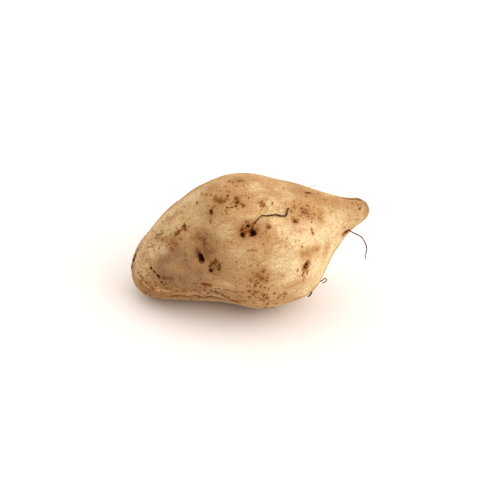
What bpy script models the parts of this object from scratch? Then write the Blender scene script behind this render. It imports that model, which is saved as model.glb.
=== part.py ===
"""A plump sweet potato with pale skin, lying on its belly, with the dry rootlets left on it.

The storage root, its scars, its pits and its rootlets grew as one body, so they are one object.
Lengths are in metres and angles in degrees. +X runs from the blunt stem end to the pointed tail, which
is lifted, the front flank faces -Y, and the root rests on Z = 0 on its belly and its stem lobe.
Places on the skin are given by their distance along the root from a mark just inside the stem end and
an angle round it: 0 is the front flank, 90 the top, 180 the back flank and 270 underneath.
"""

import math
from typing import NamedTuple

import bmesh
import bpy
import numpy as np
from mathutils import Matrix, Vector

# Driving dimensions
STEM_TIP = -0.0014
TAIL_TIP = 0.1385
LEAN = 18.77
FLAT_DEPTH = 0.0005
STEM_CAP_LENGTH = 0.0142
TAIL_CAP_LENGTH = 0.0045
RINGS = 62
SEGMENTS = 72
END_CROWDING = 0.6
PIT_SEGMENTS = 10
PIT_RINGS = 7
ROOTLET_POINTS_PER_SPAN = 2
ROOTLET_TIP_SHARE = 0.62
SLOPE_STEP = 0.0005
SLOPE_TURN = 0.5
SAME_POINT = 1e-6

SKIN_COLOUR = (0.72, 0.52, 0.30, 1.0)
SKIN_ROUGHNESS = 0.62


class Section(NamedTuple):
    """A cut across the root: where its middle is, and how far it reaches sideways and upwards."""

    along: float
    y: float
    z: float
    half_width: float
    half_height: float


SECTIONS = (
    Section(STEM_TIP, 0.0029, -0.0027, 0.0168, 0.0166),
    Section(0.0050, 0.0030, -0.0022, 0.0162, 0.0159),
    Section(0.0100, 0.0030, -0.0013, 0.0175, 0.0171),
    Section(0.0150, 0.0030, -0.0001, 0.0198, 0.0194),
    Section(0.0205, 0.0030, 0.0015, 0.0228, 0.0223),
    Section(0.0310, 0.0026, 0.0036, 0.0278, 0.0271),
    Section(0.0420, 0.0020, 0.0047, 0.0312, 0.0305),
    Section(0.0535, 0.0010, 0.0044, 0.0348, 0.0344),
    Section(0.0650, 0.0000, 0.0019, 0.0386, 0.0384),
    Section(0.0760, 0.0000, -0.0003, 0.0388, 0.0385),
    Section(0.0870, -0.0003, -0.0025, 0.0363, 0.0358),
    Section(0.0930, -0.0011, -0.0041, 0.0344, 0.0335),
    Section(0.0990, -0.0015, -0.0039, 0.0309, 0.0300),
    Section(0.1050, -0.0009, -0.0024, 0.0253, 0.0250),
    Section(0.1105, -0.0007, -0.0008, 0.0203, 0.0201),
    Section(0.1160, -0.0005, 0.0001, 0.0159, 0.0159),
    Section(0.1215, 0.0000, 0.0006, 0.0119, 0.0121),
    Section(0.1270, 0.0000, 0.0006, 0.0089, 0.0090),
    Section(0.1325, 0.0000, 0.0003, 0.0060, 0.0060),
    Section(TAIL_TIP, 0.0000, 0.0003, 0.0040, 0.0040),
)


class Dimple(NamedTuple):
    """A round-edged hollow in the skin, or a swelling where its depth is negative."""

    along: float
    angle: float
    depth: float
    half_length: float
    half_girth: float


DIMPLES = (
    Dimple(0.0495, 34, 0.0017, 0.0062, 0.0110),
    Dimple(0.0462, 23, 0.0011, 0.0036, 0.0046),
    Dimple(0.0530, 15, 0.0009, 0.0042, 0.0042),
    Dimple(0.0770, 43, 0.0017, 0.0052, 0.0046),
    Dimple(0.0968, 358, 0.0013, 0.0036, 0.0056),
    Dimple(0.1015, 10, 0.0007, 0.0044, 0.0036),
    Dimple(0.0995, 48, 0.0009, 0.0034, 0.0034),
    Dimple(0.1052, 58, 0.0008, 0.0040, 0.0040),
    Dimple(0.0590, 64, 0.0008, 0.0034, 0.0034),
    Dimple(0.0225, 34, 0.0011, 0.0042, 0.0130),
    Dimple(0.0125, 34, -0.0010, 0.0050, 0.0110),
    Dimple(0.0447, 342, 0.0010, 0.0080, 0.0060),
    Dimple(0.0640, 300, -0.0009, 0.0110, 0.0100),
    Dimple(0.0600, 165, 0.0017, 0.0072, 0.0090),
    Dimple(0.0900, 192, 0.0012, 0.0054, 0.0062),
    Dimple(0.0300, 150, 0.0011, 0.0056, 0.0056),
    Dimple(0.0760, 235, 0.0011, 0.0064, 0.0060),
    Dimple(0.0420, 118, 0.0008, 0.0048, 0.0046),
)


class Ripple(NamedTuple):
    """A gentle wave over the whole root, as it swelled between stones."""

    height: float
    waves_along: float
    waves_round: int
    phase: float


RIPPLES = (
    Ripple(0.00030, 1.6, 3, 40),
    Ripple(0.00025, 2.7, 2, 200),
    Ripple(0.00020, 4.2, 5, 110),
)


class Pit(NamedTuple):
    """A dark hole where an eye or a side root rotted away: its place, its half sizes and its depth."""

    along: float
    angle: float
    half_length: float
    half_girth: float
    depth: float


PITS = (
    Pit(0.0781, 42, 0.0022, 0.0021, 0.0028),
    Pit(0.0729, 41, 0.0014, 0.0013, 0.0015),
    Pit(0.0759, 47, 0.0013, 0.0013, 0.0014),
    Pit(0.0466, 25, 0.0013, 0.0023, 0.0023),
    Pit(0.0497, 12, 0.0011, 0.0011, 0.0012),
    Pit(0.0542, 19, 0.0011, 0.0010, 0.0010),
    Pit(0.0979, 0, 0.0014, 0.0021, 0.0014),
    Pit(0.0950, 355, 0.0011, 0.0012, 0.0010),
    Pit(0.0995, 48, 0.0012, 0.0011, 0.0011),
    Pit(0.0590, 64, 0.0012, 0.0013, 0.0011),
    Pit(0.0862, 45, 0.0010, 0.0010, 0.0009),
    Pit(0.0417, 60, 0.0010, 0.0011, 0.0009),
    Pit(0.0640, 160, 0.0014, 0.0017, 0.0016),
    Pit(0.0880, 196, 0.0012, 0.0012, 0.0011),
    Pit(0.0330, 172, 0.0011, 0.0011, 0.0010),
    Pit(0.0700, 248, 0.0012, 0.0013, 0.0011),
)


class Rootlet(NamedTuple):
    """A dry side root: its stops over the skin (along, angle, height), then (x, y, z) steps from there."""

    radius: float
    over_skin: tuple
    hanging: tuple


ROOTLETS = (
    Rootlet(
        0.00056,
        (
            (0.0780, 43, -0.0034),
            (0.0792, 46, 0.0003),
            (0.0812, 50, 0.0010),
            (0.0846, 54, 0.0008),
            (0.0894, 56, 0.0007),
            (0.0932, 56, 0.0008),
            (0.0962, 56, 0.0010),
            (0.0973, 62, 0.0016),
        ),
        (),
    ),
    Rootlet(
        0.00050,
        ((0.1203, 336, -0.0030), (0.1207, 335, 0.0002)),
        (
            (0.0024, -0.0012, 0.0035),
            (0.0068, -0.0020, 0.0014),
            (0.0105, -0.0026, -0.0007),
            (0.0129, -0.0032, -0.0054),
            (0.0134, -0.0036, -0.0081),
            (0.0127, -0.0038, -0.0117),
            (0.0132, -0.0040, -0.0143),
        ),
    ),
    Rootlet(
        0.00036,
        (
            (0.1008, 303, -0.0022),
            (0.1011, 303, 0.0007),
            (0.1020, 301, 0.0022),
            (0.1029, 298, 0.0020),
            (0.1026, 295, 0.0006),
            (0.1017, 294, -0.0020),
        ),
        (),
    ),
    Rootlet(
        0.00060,
        ((0.0950, 305, -0.0024), (0.0945, 304, 0.0002), (0.0929, 303, 0.0004), (0.0914, 302, 0.0001)),
        (),
    ),
)


def smooth_curve(stations, values, wanted):
    """Values at the wanted places on a curve that passes smoothly through all the stations."""
    stations, values, wanted = (np.asarray(a, float) for a in (stations, values, wanted))
    slopes = np.gradient(values, stations)
    span = np.clip(np.searchsorted(stations, wanted) - 1, 0, len(stations) - 2)
    gap = stations[span + 1] - stations[span]
    share = np.clip((wanted - stations[span]) / gap, 0, 1)
    rise = share * share * (3 - 2 * share)
    leaving = share * (1 - share) ** 2 * gap * slopes[span]
    arriving = share * share * (share - 1) * gap * slopes[span + 1]
    return values[span] * (1 - rise) + values[span + 1] * rise + leaving + arriving


def end_rounding(along):
    """1 over most of the length, falling to 0 at each end as the edge of an ellipse does."""
    stem = np.clip(1 - (along - STEM_TIP) / STEM_CAP_LENGTH, 0, 1)
    tail = np.clip((along - TAIL_TIP) / TAIL_CAP_LENGTH + 1, 0, 1)
    return np.sqrt((1 - stem**2) * (1 - tail**2))


def relief(along, angle, radius):
    """How far the dimples and the ripples lift the skin off the plain sections, in metres."""
    out = np.zeros_like(along)
    for dimple in DIMPLES:
        turn = np.radians((angle - dimple.angle + 180) % 360 - 180)
        lengthwise = (along - dimple.along) / dimple.half_length
        around = turn * radius / dimple.half_girth
        out -= dimple.depth * np.exp(-(lengthwise**2) - around**2)
    for ripple in RIPPLES:
        lengthwise = 2 * math.pi * ripple.waves_along * along / TAIL_TIP
        out += ripple.height * np.sin(lengthwise + np.radians(ripple.waves_round * angle + ripple.phase))
    return out


def skin_points(along, angle):
    """Points on the skin of the leaning root, before it is moved to its place on the floor."""
    along, angle = np.broadcast_arrays(np.asarray(along, float), np.asarray(angle, float))
    places = [section.along for section in SECTIONS]
    y, z, half_width, half_height = (
        smooth_curve(places, [section[field] for section in SECTIONS], along) for field in range(1, 5)
    )
    rounding = end_rounding(along)
    size = np.sqrt(half_width * half_height)
    swell = rounding * (1 + relief(along, angle, size * rounding) * rounding / size)
    turn = np.radians(angle)
    y = y - half_width * swell * np.cos(turn)
    z = z + half_height * swell * np.sin(turn)
    lean = math.radians(LEAN)
    x, z = along * math.cos(lean) - z * math.sin(lean), along * math.sin(lean) + z * math.cos(lean)
    return np.stack([x, y, z], axis=-1)


def skin_place(along, angle):
    """A point on the skin with the directions that run along the root, round it and out of it."""
    here = Vector(skin_points(along, angle))
    lengthwise = Vector(skin_points(along + SLOPE_STEP, angle) - skin_points(along - SLOPE_STEP, angle))
    around = Vector(skin_points(along, angle + SLOPE_TURN) - skin_points(along, angle - SLOPE_TURN))
    outward = lengthwise.cross(around).normalized()
    lengthwise = lengthwise.normalized()
    return here, lengthwise, outward.cross(lengthwise), outward


def make_root():
    """The root from a sphere whose poles lie at its ends, drawn out along the sections."""
    bm = bmesh.new()
    bmesh.ops.create_uvsphere(bm, u_segments=SEGMENTS, v_segments=RINGS, radius=1)
    pole = np.array([vert.co.z for vert in bm.verts]).clip(-1, 1)
    angle = np.degrees([math.atan2(vert.co.y, vert.co.x) for vert in bm.verts])
    even = 1 - np.arccos(pole) / math.pi
    along = STEM_TIP + (TAIL_TIP - STEM_TIP) * (END_CROWDING * (1 + pole) / 2 + (1 - END_CROWDING) * even)
    for vert, point in zip(bm.verts, skin_points(along, angle)):
        vert.co = point
    bmesh.ops.recalc_face_normals(bm, faces=bm.faces)
    return finished_mesh(bm, "sweet_potato")


def finished_mesh(bm, name):
    """A mesh made from the working mesh, which is freed."""
    mesh = bpy.data.meshes.new(name)
    bm.to_mesh(mesh)
    bm.free()
    return mesh


def make_pit(pit, name):
    """The squashed ball that is cut out of the skin to leave a pit."""
    here, lengthwise, around, outward = skin_place(pit.along, pit.angle)
    bm = bmesh.new()
    bmesh.ops.create_uvsphere(bm, u_segments=PIT_SEGMENTS, v_segments=PIT_RINGS, radius=1)
    bmesh.ops.scale(bm, vec=(pit.half_length, pit.half_girth, pit.depth), verts=bm.verts)
    facing = Matrix((lengthwise, around, outward)).transposed().to_4x4()
    bmesh.ops.transform(bm, matrix=Matrix.Translation(here) @ facing, verts=bm.verts)
    bmesh.ops.recalc_face_normals(bm, faces=bm.faces)
    return finished_mesh(bm, name)


def rootlet_stops(rootlet):
    """The points in space that a rootlet passes through."""
    stops = []
    for along, angle, height in rootlet.over_skin:
        here, _, _, outward = skin_place(along, angle)
        stops.append(here + outward * height)
    leaves = stops[-1]
    return stops + [leaves + Vector(offset) for offset in rootlet.hanging]


def make_rootlet(rootlet, name, collection):
    """A thin tapering tube along a rootlet, made from a curve and closed at both ends."""
    stops = np.array(rootlet_stops(rootlet))
    places = np.arange(len(stops), dtype=float)
    wanted = np.linspace(0, len(stops) - 1, (len(stops) - 1) * ROOTLET_POINTS_PER_SPAN + 1)
    line = np.stack([smooth_curve(places, stops[:, axis], wanted) for axis in range(3)], axis=-1)
    curve = bpy.data.curves.new(name, "CURVE")
    curve.dimensions = "3D"
    curve.bevel_depth = rootlet.radius
    curve.bevel_resolution = 2
    curve.use_fill_caps = True
    spline = curve.splines.new("POLY")
    spline.points.add(len(line) - 1)
    for point, place, share in zip(spline.points, line, np.linspace(1, ROOTLET_TIP_SHARE, len(line))):
        point.co = (*place, 1)
        point.radius = share
    drawn = bpy.data.objects.new(name, curve)
    collection.objects.link(drawn)
    graph = bpy.context.evaluated_depsgraph_get()
    bm = bmesh.new()
    rough = bpy.data.meshes.new_from_object(drawn.evaluated_get(graph))
    bm.from_mesh(rough)
    bpy.data.objects.remove(drawn)
    bpy.data.curves.remove(curve)
    bpy.data.meshes.remove(rough)
    bmesh.ops.remove_doubles(bm, verts=bm.verts, dist=SAME_POINT)
    bmesh.ops.recalc_face_normals(bm, faces=bm.faces)
    return finished_mesh(bm, name)


def join_or_cut(body, operation, others):
    """Applies one Boolean between the body and every object in a collection, which is emptied."""
    modifier = body.modifiers.new(operation.lower(), "BOOLEAN")
    modifier.operation = operation
    modifier.operand_type = "COLLECTION"
    modifier.collection = others
    modifier.solver = "EXACT"
    graph = bpy.context.evaluated_depsgraph_get()
    result = bpy.data.meshes.new_from_object(body.evaluated_get(graph))
    body.modifiers.clear()
    spent = body.data
    body.data = result
    bpy.data.meshes.remove(spent)
    for other in list(others.objects):
        bpy.data.objects.remove(other)


def settle(mesh):
    """Moves the root so that its middle is on the Z axis and cuts the two flats that it rests on."""
    bm = bmesh.new()
    bm.from_mesh(mesh)
    ends = [pick(vert.co.x for vert in bm.verts) for pick in (min, max)]
    sides = [pick(vert.co.y for vert in bm.verts) for pick in (min, max)]
    low = min(vert.co.z for vert in bm.verts)
    bmesh.ops.translate(bm, vec=(-sum(ends) / 2, -sum(sides) / 2, -low - FLAT_DEPTH), verts=bm.verts)
    geometry = bm.verts[:] + bm.edges[:] + bm.faces[:]
    cut = bmesh.ops.bisect_plane(bm, geom=geometry, plane_co=(0, 0, 0), plane_no=(0, 0, -1), clear_outer=True)
    rim = [item for item in cut["geom_cut"] if isinstance(item, bmesh.types.BMEdge)]
    bmesh.ops.holes_fill(bm, edges=rim, sides=0)
    bmesh.ops.recalc_face_normals(bm, faces=bm.faces)
    bm.to_mesh(mesh)
    bm.free()


def skin_material():
    """The pale, dull skin."""
    material = bpy.data.materials.new("pale_skin")
    material.use_nodes = True
    shader = material.node_tree.nodes["Principled BSDF"]
    shader.inputs["Base Color"].default_value = SKIN_COLOUR
    shader.inputs["Roughness"].default_value = SKIN_ROUGHNESS
    return material


def new_collection(name):
    """A collection in the scene."""
    collection = bpy.data.collections.new(name)
    bpy.context.scene.collection.children.link(collection)
    return collection


def new_object(mesh, collection):
    """An object in a collection that shows a mesh."""
    made = bpy.data.objects.new(mesh.name, mesh)
    collection.objects.link(made)
    return made


def main():
    for old in list(bpy.data.objects):
        bpy.data.objects.remove(old)
    shown = new_collection("sweet_potato")
    cutters = new_collection("cutters")
    growths = new_collection("rootlets")

    root = new_object(make_root(), shown)
    for number, pit in enumerate(PITS):
        cutter = new_object(make_pit(pit, f"pit_{number}"), cutters)
        cutter.hide_render = True
        cutter.display_type = "WIRE"
    join_or_cut(root, "DIFFERENCE", cutters)
    for number, rootlet in enumerate(ROOTLETS):
        new_object(make_rootlet(rootlet, f"rootlet_{number}", growths), growths)
    join_or_cut(root, "UNION", growths)
    bpy.data.collections.remove(cutters)
    bpy.data.collections.remove(growths)

    settle(root.data)
    root.data.materials.clear()
    root.data.materials.append(skin_material())
    root.data.shade_smooth()
    root.data.set_sharp_from_angle(angle=math.radians(40))


main()
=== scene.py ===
"""A pale-skinned sweet potato with its dry rootlets, lying on a plain pale floor in soft light.

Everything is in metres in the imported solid's own frame: +X towards the lifted tail, and the front flank
towards -Y. Places that the photograph shows are in its pixels, from its top left corner.
"""

import logging
import math
from dataclasses import dataclass, field
from enum import Enum

import bpy
import numpy as np
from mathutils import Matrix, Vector
from mathutils.bvhtree import BVHTree

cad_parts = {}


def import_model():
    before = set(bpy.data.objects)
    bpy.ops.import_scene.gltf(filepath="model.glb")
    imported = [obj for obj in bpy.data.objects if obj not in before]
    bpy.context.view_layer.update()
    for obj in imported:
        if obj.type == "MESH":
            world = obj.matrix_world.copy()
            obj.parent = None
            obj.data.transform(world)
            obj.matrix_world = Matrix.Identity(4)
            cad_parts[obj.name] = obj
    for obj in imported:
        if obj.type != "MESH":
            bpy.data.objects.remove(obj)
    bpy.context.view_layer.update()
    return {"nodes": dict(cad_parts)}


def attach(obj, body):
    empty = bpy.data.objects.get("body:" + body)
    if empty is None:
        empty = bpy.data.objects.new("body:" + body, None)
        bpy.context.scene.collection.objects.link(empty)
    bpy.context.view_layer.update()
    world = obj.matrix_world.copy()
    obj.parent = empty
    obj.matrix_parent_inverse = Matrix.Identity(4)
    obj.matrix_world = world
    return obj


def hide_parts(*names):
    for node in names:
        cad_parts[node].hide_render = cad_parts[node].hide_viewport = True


NODE = "sweet_potato"
FRAME_PX = 500
CLUSTER_SEED = 5
LOG = logging.getLogger("sweet_potato")

Colour = tuple[float, float, float]
Route = tuple[tuple[float, float], ...]
Socket = bpy.types.NodeSocket


class Stain(Enum):
    """The kinds of mark that the skin carries, each stored as an attribute of that name. Some kinds also hold
    painted light and shade.
    """

    PIT = "pit"
    RUSSET = "russet"
    AMBER = "amber"
    SOIL = "soil"
    # pinkish skin, and along the left rim painted rim sheen
    BLUSH_AND_SHEEN = "blush_and_sheen"
    # paler skin, and also painted light: rim sheen along the left rim, light along the right rim, and the
    # upper left flank and the lower right near the floor painted lighter
    PALE_AND_PAINTED_LIGHT = "pale"
    # painted shade as well as darker skin: darker patches in the hollow, under the nose bump, along the
    # underside, over the lower left flank and along the top
    SHADE_AND_DARK_SKIN = "shade_and_dark_skin"


def unit(vectors: np.ndarray) -> np.ndarray:
    """Vectors of length 1 along the given ones."""
    return vectors / np.maximum(np.linalg.norm(vectors, axis=-1, keepdims=True), 1e-12)


def ramp(values: np.ndarray, low: float, high: float) -> np.ndarray:
    """A smooth rise from 0 at low to 1 at high."""
    share = np.clip((values - low) / (high - low), 0, 1)
    return share * share * (3 - 2 * share)


@dataclass
class LatticeNoise:
    """Smooth repeatable noise from -1 to 1."""

    seed: int
    size: int = 32
    table: np.ndarray = field(init=False)

    def __post_init__(self) -> None:
        """Fills the lattice."""
        self.table = np.random.default_rng(self.seed).uniform(-1, 1, (self.size,) * 3)

    def at(self, points: np.ndarray, cell: float) -> np.ndarray:
        """Noise at points in space.

        Args:
            points: the places, one row of three each.
            cell: the distance between lattice points.

        Returns:
            One value for each place.
        """
        scaled = points / cell
        base = np.floor(scaled).astype(int)
        share = scaled - base
        share = share * share * (3 - 2 * share)
        total = np.zeros(len(points))
        for corner in np.ndindex(2, 2, 2):
            weight = np.prod(np.where(corner, share, 1 - share), axis=1)
            index = (base + corner) % self.size
            total += weight * self.table[index[:, 0], index[:, 1], index[:, 2]]
        return total


@dataclass(frozen=True)
class PhotoCamera:
    """The camera, at the photograph's own angle.

    Angles are in degrees, and the lens and sensor in millimetres.
    """

    azimuth: float = -1.5
    elevation: float = 35.0
    lens: float = 85.0
    sensor: float = 36.0
    distance: float = 0.66
    aim: tuple[float, float, float] = (0.0010, 0.0, 0.0309)

    def axes(self) -> tuple[np.ndarray, np.ndarray, np.ndarray]:
        """The camera's own directions.

        Returns:
            The directions back towards the camera, to its right and to its top.
        """
        turn, rise = math.radians(self.azimuth), math.radians(self.elevation)
        level = math.cos(rise)
        back = np.array([math.sin(turn) * level, -math.cos(turn) * level, math.sin(rise)])
        right = np.array([math.cos(turn), math.sin(turn), 0.0])
        return back, right, np.cross(back, right)

    def place(self) -> np.ndarray:
        """Where the camera stands."""
        return np.array(self.aim) + self.axes()[0] * self.distance

    def pixels(self, points: np.ndarray) -> np.ndarray:
        """Where points in space are seen.

        Args:
            points: the places, one row of three each.

        Returns:
            One row for each place: its pixels from the left and from the top of the frame.
        """
        back, right, top = self.axes()
        away = points - self.place()
        scale = self.lens / self.sensor * FRAME_PX / -(away @ back)
        across, down = scale * (away @ right), scale * (away @ top)
        return np.stack([FRAME_PX / 2 + across, FRAME_PX / 2 - down], axis=-1)

    def ray(self, x: float, y: float) -> np.ndarray:
        """The direction from the camera through a pixel.

        Args:
            x: the pixel's place from the left.
            y: the pixel's place from the top.

        Returns:
            The direction, of length 1.
        """
        back, right, top = self.axes()
        reach = self.sensor / self.lens / FRAME_PX
        return unit(right * (x - FRAME_PX / 2) * reach - top * (y - FRAME_PX / 2) * reach - back)

    def build(self) -> bpy.types.Object:
        """Makes the camera and gives it to the scene.

        Returns:
            The camera.
        """
        data = bpy.data.cameras.new("photo_camera")
        data.lens, data.sensor_width = self.lens, self.sensor
        camera = bpy.data.objects.new("photo_camera", data)
        bpy.context.scene.collection.objects.link(camera)
        camera.location = self.place()
        camera.rotation_mode = "QUATERNION"
        camera.rotation_quaternion = Vector(-self.axes()[0]).to_track_quat("-Z", "Y")
        bpy.context.scene.camera = camera
        return camera


@dataclass(frozen=True)
class Mark:
    """A spot or streak on the skin, placed where the photograph shows it. Widths are in its pixels."""

    stain: Stain
    half_width: float
    route: Route
    strength: float = 1.0
    depth_mm: float = 0.0


def spots(
    stain: Stain, half_width: float, places: Route, strength: float = 1.0, depth_mm: float = 0.0
) -> list[Mark]:
    """Round marks of one kind and size, one at each place."""
    return [Mark(stain, half_width, (place,), strength, depth_mm) for place in places]


@dataclass(frozen=True)
class Cluster:
    """Many small specks and short strokes scattered round one place, in pixels of the photograph."""

    place: tuple[float, float]
    spread: float
    count: int
    stain: Stain = Stain.RUSSET
    sizes: tuple[float, float] = (0.4, 0.9)
    strengths: tuple[float, float] = (0.55, 1.0)
    stroke: float = 0.8
    depth_mm: float = 0.1

    def marks(self, rng: np.random.Generator) -> list[Mark]:
        """The specks and strokes as single marks.

        Args:
            rng: the source of the random draws.

        Returns:
            The marks.
        """
        out = []
        for _ in range(self.count):
            x, y = rng.normal(self.place, self.spread / 2, 2)
            far_x, far_y = rng.normal((x, y), self.stroke, 2)
            half_width, strength = rng.uniform(*self.sizes), rng.uniform(*self.strengths)
            out.append(Mark(self.stain, half_width, ((x, y), (far_x, far_y)), strength, self.depth_mm))
        return out


# Routes along the rims where paler colour is painted: rim sheen on the left, and light on the right flank
# that is turned from the light.
LEFT_RIM_SHEEN = (
    (138.0, 268.0), (141.0, 250.0), (150.0, 234.0), (161.0, 221.0), (173.0, 210.0), (187.0, 200.0),
    (197.0, 194.0),
)
RIGHT_RIM_LIGHT = ((342.0, 237.0), (334.0, 247.0), (328.0, 259.0), (323.0, 271.0), (317.0, 282.0))
BELLY_EDGE = ((145.0, 291.0), (160.0, 296.0), (182.0, 297.0), (212.0, 298.0), (232.0, 301.0))
BELLY_STREAK = ((142.0, 288.0), (158.0, 294.0), (180.0, 297.0), (206.0, 297.0), (240.0, 302.0))

MAIN_PIT = [
    Mark(Stain.PIT, 2.8, ((253.5, 232.6),), 1.1, 2.6),
    Mark(Stain.PIT, 2.0, ((243.0, 234.6),), 1.1, 1.3),
    Mark(Stain.PIT, 1.7, ((247.6, 226.2),), 0.88, 1.2),
    Mark(Stain.PIT, 1.1, ((241.3, 231.2), (242.6, 230.0)), 0.62, 0.3),
    Mark(Stain.PIT, 1.2, ((249.6, 235.6), (251.6, 236.4)), 0.62, 0.4),
    Mark(Stain.PIT, 1.1, ((249.6, 230.6),), 0.60, 0.3),
    Mark(Stain.SOIL, 4.2, ((244.0, 232.5), (249.0, 229.5), (253.0, 233.0)), 0.88),
    Mark(Stain.RUSSET, 5.6, ((245.0, 232.0), (248.5, 227.0), (254.0, 231.0)), 0.70),
    Mark(Stain.PIT, 1.0, ((252.6, 227.0), (254.4, 223.0)), 0.62, 0.2),
    Mark(Stain.RUSSET, 1.8, ((246.0, 222.0), (249.0, 224.0)), 0.8),
]
LOWER_PITS = [
    Mark(Stain.PIT, 2.3, ((200.0, 255.8), (201.4, 260.0)), 1.15, 2.2),
    Mark(Stain.PIT, 0.9, ((198.8, 253.0), (200.4, 256.0)), 0.60, 0.5),
    Mark(Stain.SOIL, 4.4, ((197.5, 251.0), (201.0, 259.0)), 0.75),
    Mark(Stain.PIT, 1.9, ((210.9, 270.4),), 1.05, 1.0),
    Mark(Stain.PIT, 1.3, ((210.0, 266.0),), 0.8, 0.5),
    Mark(Stain.RUSSET, 1.9, ((212.2, 263.4), (217.0, 262.0)), 1.0, 0.4),
    Mark(Stain.RUSSET, 1.9, ((219.0, 264.4), (218.8, 269.2)), 1.1, 0.7),
    Mark(Stain.PIT, 0.9, ((213.4, 263.6),), 0.85, 0.3),
    Mark(Stain.RUSSET, 1.6, ((214.2, 269.4),), 0.8, 0.3),
    Mark(Stain.AMBER, 6.5, ((213.5, 266.6),), 0.95),
]
RIGHT_PITS = [
    Mark(Stain.PIT, 1.3, ((307.4, 264.2), (305.6, 267.6)), 0.74, 1.3),
    Mark(Stain.RUSSET, 2.7, ((307.8, 263.8), (305.0, 268.4)), 0.95, 0.4),
    Mark(Stain.PIT, 0.9, ((303.2, 273.4),), 0.95, 0.8),
    Mark(Stain.RUSSET, 1.1, ((304.4, 270.6), (303.4, 274.4)), 0.58, 0.2),
    Mark(Stain.RUSSET, 0.9, ((303.8, 277.0), (304.2, 281.0)), 0.42, 0.2),
    Mark(Stain.BLUSH_AND_SHEEN, 5.0, ((306.0, 272.0), (301.0, 279.0)), 0.6),
    Mark(Stain.PIT, 1.2, ((295.4, 221.6),), 0.66, 0.9),
    Mark(Stain.RUSSET, 2.8, ((295.0, 220.8),), 0.95, 0.3),
    Mark(Stain.RUSSET, 1.1, ((298.6, 220.0),), 0.85),
    Mark(Stain.BLUSH_AND_SHEEN, 6.5, ((297.0, 226.0),), 0.85),
    Mark(Stain.PIT, 1.0, ((268.4, 227.6),), 0.66, 0.8),
    Mark(Stain.RUSSET, 2.4, ((267.8, 226.6),), 1.0, 0.2),
    Mark(Stain.RUSSET, 2.2, ((261.4, 202.0), (263.6, 205.0)), 0.9, 0.3),
    Mark(Stain.RUSSET, 1.1, ((260.4, 201.2), (258.8, 202.4)), 0.7),
    Mark(Stain.RUSSET, 1.1, ((311.0, 228.8), (313.0, 234.4)), 0.85, 0.25),
    Mark(Stain.AMBER, 3.0, ((311.0, 229.0), (313.0, 234.0)), 0.6),
    Mark(Stain.RUSSET, 2.2, ((343.5, 234.0), (346.5, 232.0)), 0.95, 0.3),
    Mark(Stain.AMBER, 4.4, ((343.0, 235.5), (349.0, 232.0)), 0.8),
    Mark(Stain.PIT, 1.2, ((307.6, 192.2),), 0.95, 0.6),
    Mark(Stain.RUSSET, 1.8, ((306.0, 192.6), (310.0, 193.0)), 0.9, 0.2),
    Mark(Stain.RUSSET, 1.2, ((305.6, 195.0), (306.4, 196.4)), 0.7),
    Mark(Stain.RUSSET, 1.3, ((318.0, 193.4),), 0.75),
]
UPPER_PITS = [
    Mark(Stain.PIT, 1.25, ((210.8, 211.0), (210.8, 212.6)), 0.92, 1.0),
    Mark(Stain.RUSSET, 2.2, ((210.6, 211.0), (211.2, 214.0)), 0.9),
    Mark(Stain.RUSSET, 1.2, ((212.4, 209.0), (214.6, 206.4)), 0.85),
    Mark(Stain.RUSSET, 1.3, ((210.6, 217.4), (210.6, 222.6)), 0.6),
    Mark(Stain.PIT, 1.1, ((227.2, 195.8),), 1.0, 0.6),
    Mark(Stain.RUSSET, 1.2, ((226.0, 198.8), (227.6, 200.0)), 0.85),
    Mark(Stain.RUSSET, 2.3, ((236.2, 198.0), (237.4, 202.4)), 1.1, 0.3),
    Mark(Stain.PIT, 1.0, ((236.0, 206.2),), 0.95, 0.4),
    Mark(Stain.RUSSET, 1.1, ((230.6, 207.6), (232.4, 207.2)), 0.8),
    Mark(Stain.RUSSET, 1.9, ((243.6, 205.4),), 1.15, 0.3),
    Mark(Stain.RUSSET, 3.2, ((217.0, 200.2), (221.6, 201.0)), 0.84),
    Mark(Stain.RUSSET, 1.1, ((225.4, 210.0), (227.8, 214.2)), 0.75),
    Mark(Stain.RUSSET, 1.5, ((183.6, 225.4), (184.6, 230.0)), 0.95, 0.3),
    Mark(Stain.PIT, 0.9, ((183.8, 225.8),), 0.85, 0.3),
    Mark(Stain.RUSSET, 1.2, ((181.4, 228.6),), 0.8),
    Mark(Stain.RUSSET, 2.2, ((176.2, 234.0), (178.0, 233.0)), 0.9, 0.2),
    Mark(Stain.RUSSET, 1.9, ((229.2, 181.6),), 0.8),
    Mark(Stain.RUSSET, 2.2, ((238.4, 181.2), (242.4, 180.6)), 0.78),
    Mark(Stain.RUSSET, 1.1, ((241.0, 179.0),), 0.7),
    Mark(Stain.RUSSET, 1.0, ((227.0, 175.9),), 0.7),
    Mark(Stain.RUSSET, 1.1, ((256.6, 251.0), (252.0, 250.0), (248.0, 250.6)), 0.72),
]
SCARS = [
    Mark(Stain.PIT, 0.9, ((150.9, 267.6), (151.5, 268.5)), 1.10, 0.5),
    Mark(Stain.PIT, 0.8, ((153.6, 271.2), (154.9, 272.5)), 1.00, 0.4),
    Mark(Stain.PIT, 1.0, ((157.7, 275.6), (158.9, 277.4)), 1.12, 0.6),
    Mark(Stain.PIT, 0.7, ((161.0, 281.4), (161.3, 282.8)), 0.95, 0.4),
    Mark(Stain.PIT, 0.65, ((162.9, 284.5), (163.5, 285.6)), 0.90, 0.4),
    Mark(Stain.RUSSET, 1.3, ((150.4, 265.6), (158.0, 277.0), (164.0, 287.0)), 0.52, 0.25),
    Mark(Stain.PIT, 1.6, ((135.0, 257.0), (132.8, 262.4), (131.6, 268.8)), 1.05, 0.3),
    Mark(Stain.SOIL, 1.9, ((138.0, 249.4), (134.6, 256.4), (131.4, 271.0)), 0.95),
    Mark(Stain.SOIL, 2.1, ((358.0, 199.0), (364.0, 200.2), (368.4, 203.4), (370.0, 208.0)), 0.92, 0.1),
    Mark(Stain.SOIL, 1.1, ((336.0, 196.2), (350.0, 199.0), (361.0, 200.8)), 0.90),
    Mark(Stain.PIT, 0.8, ((365.2, 203.4),), 0.8),
]
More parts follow.
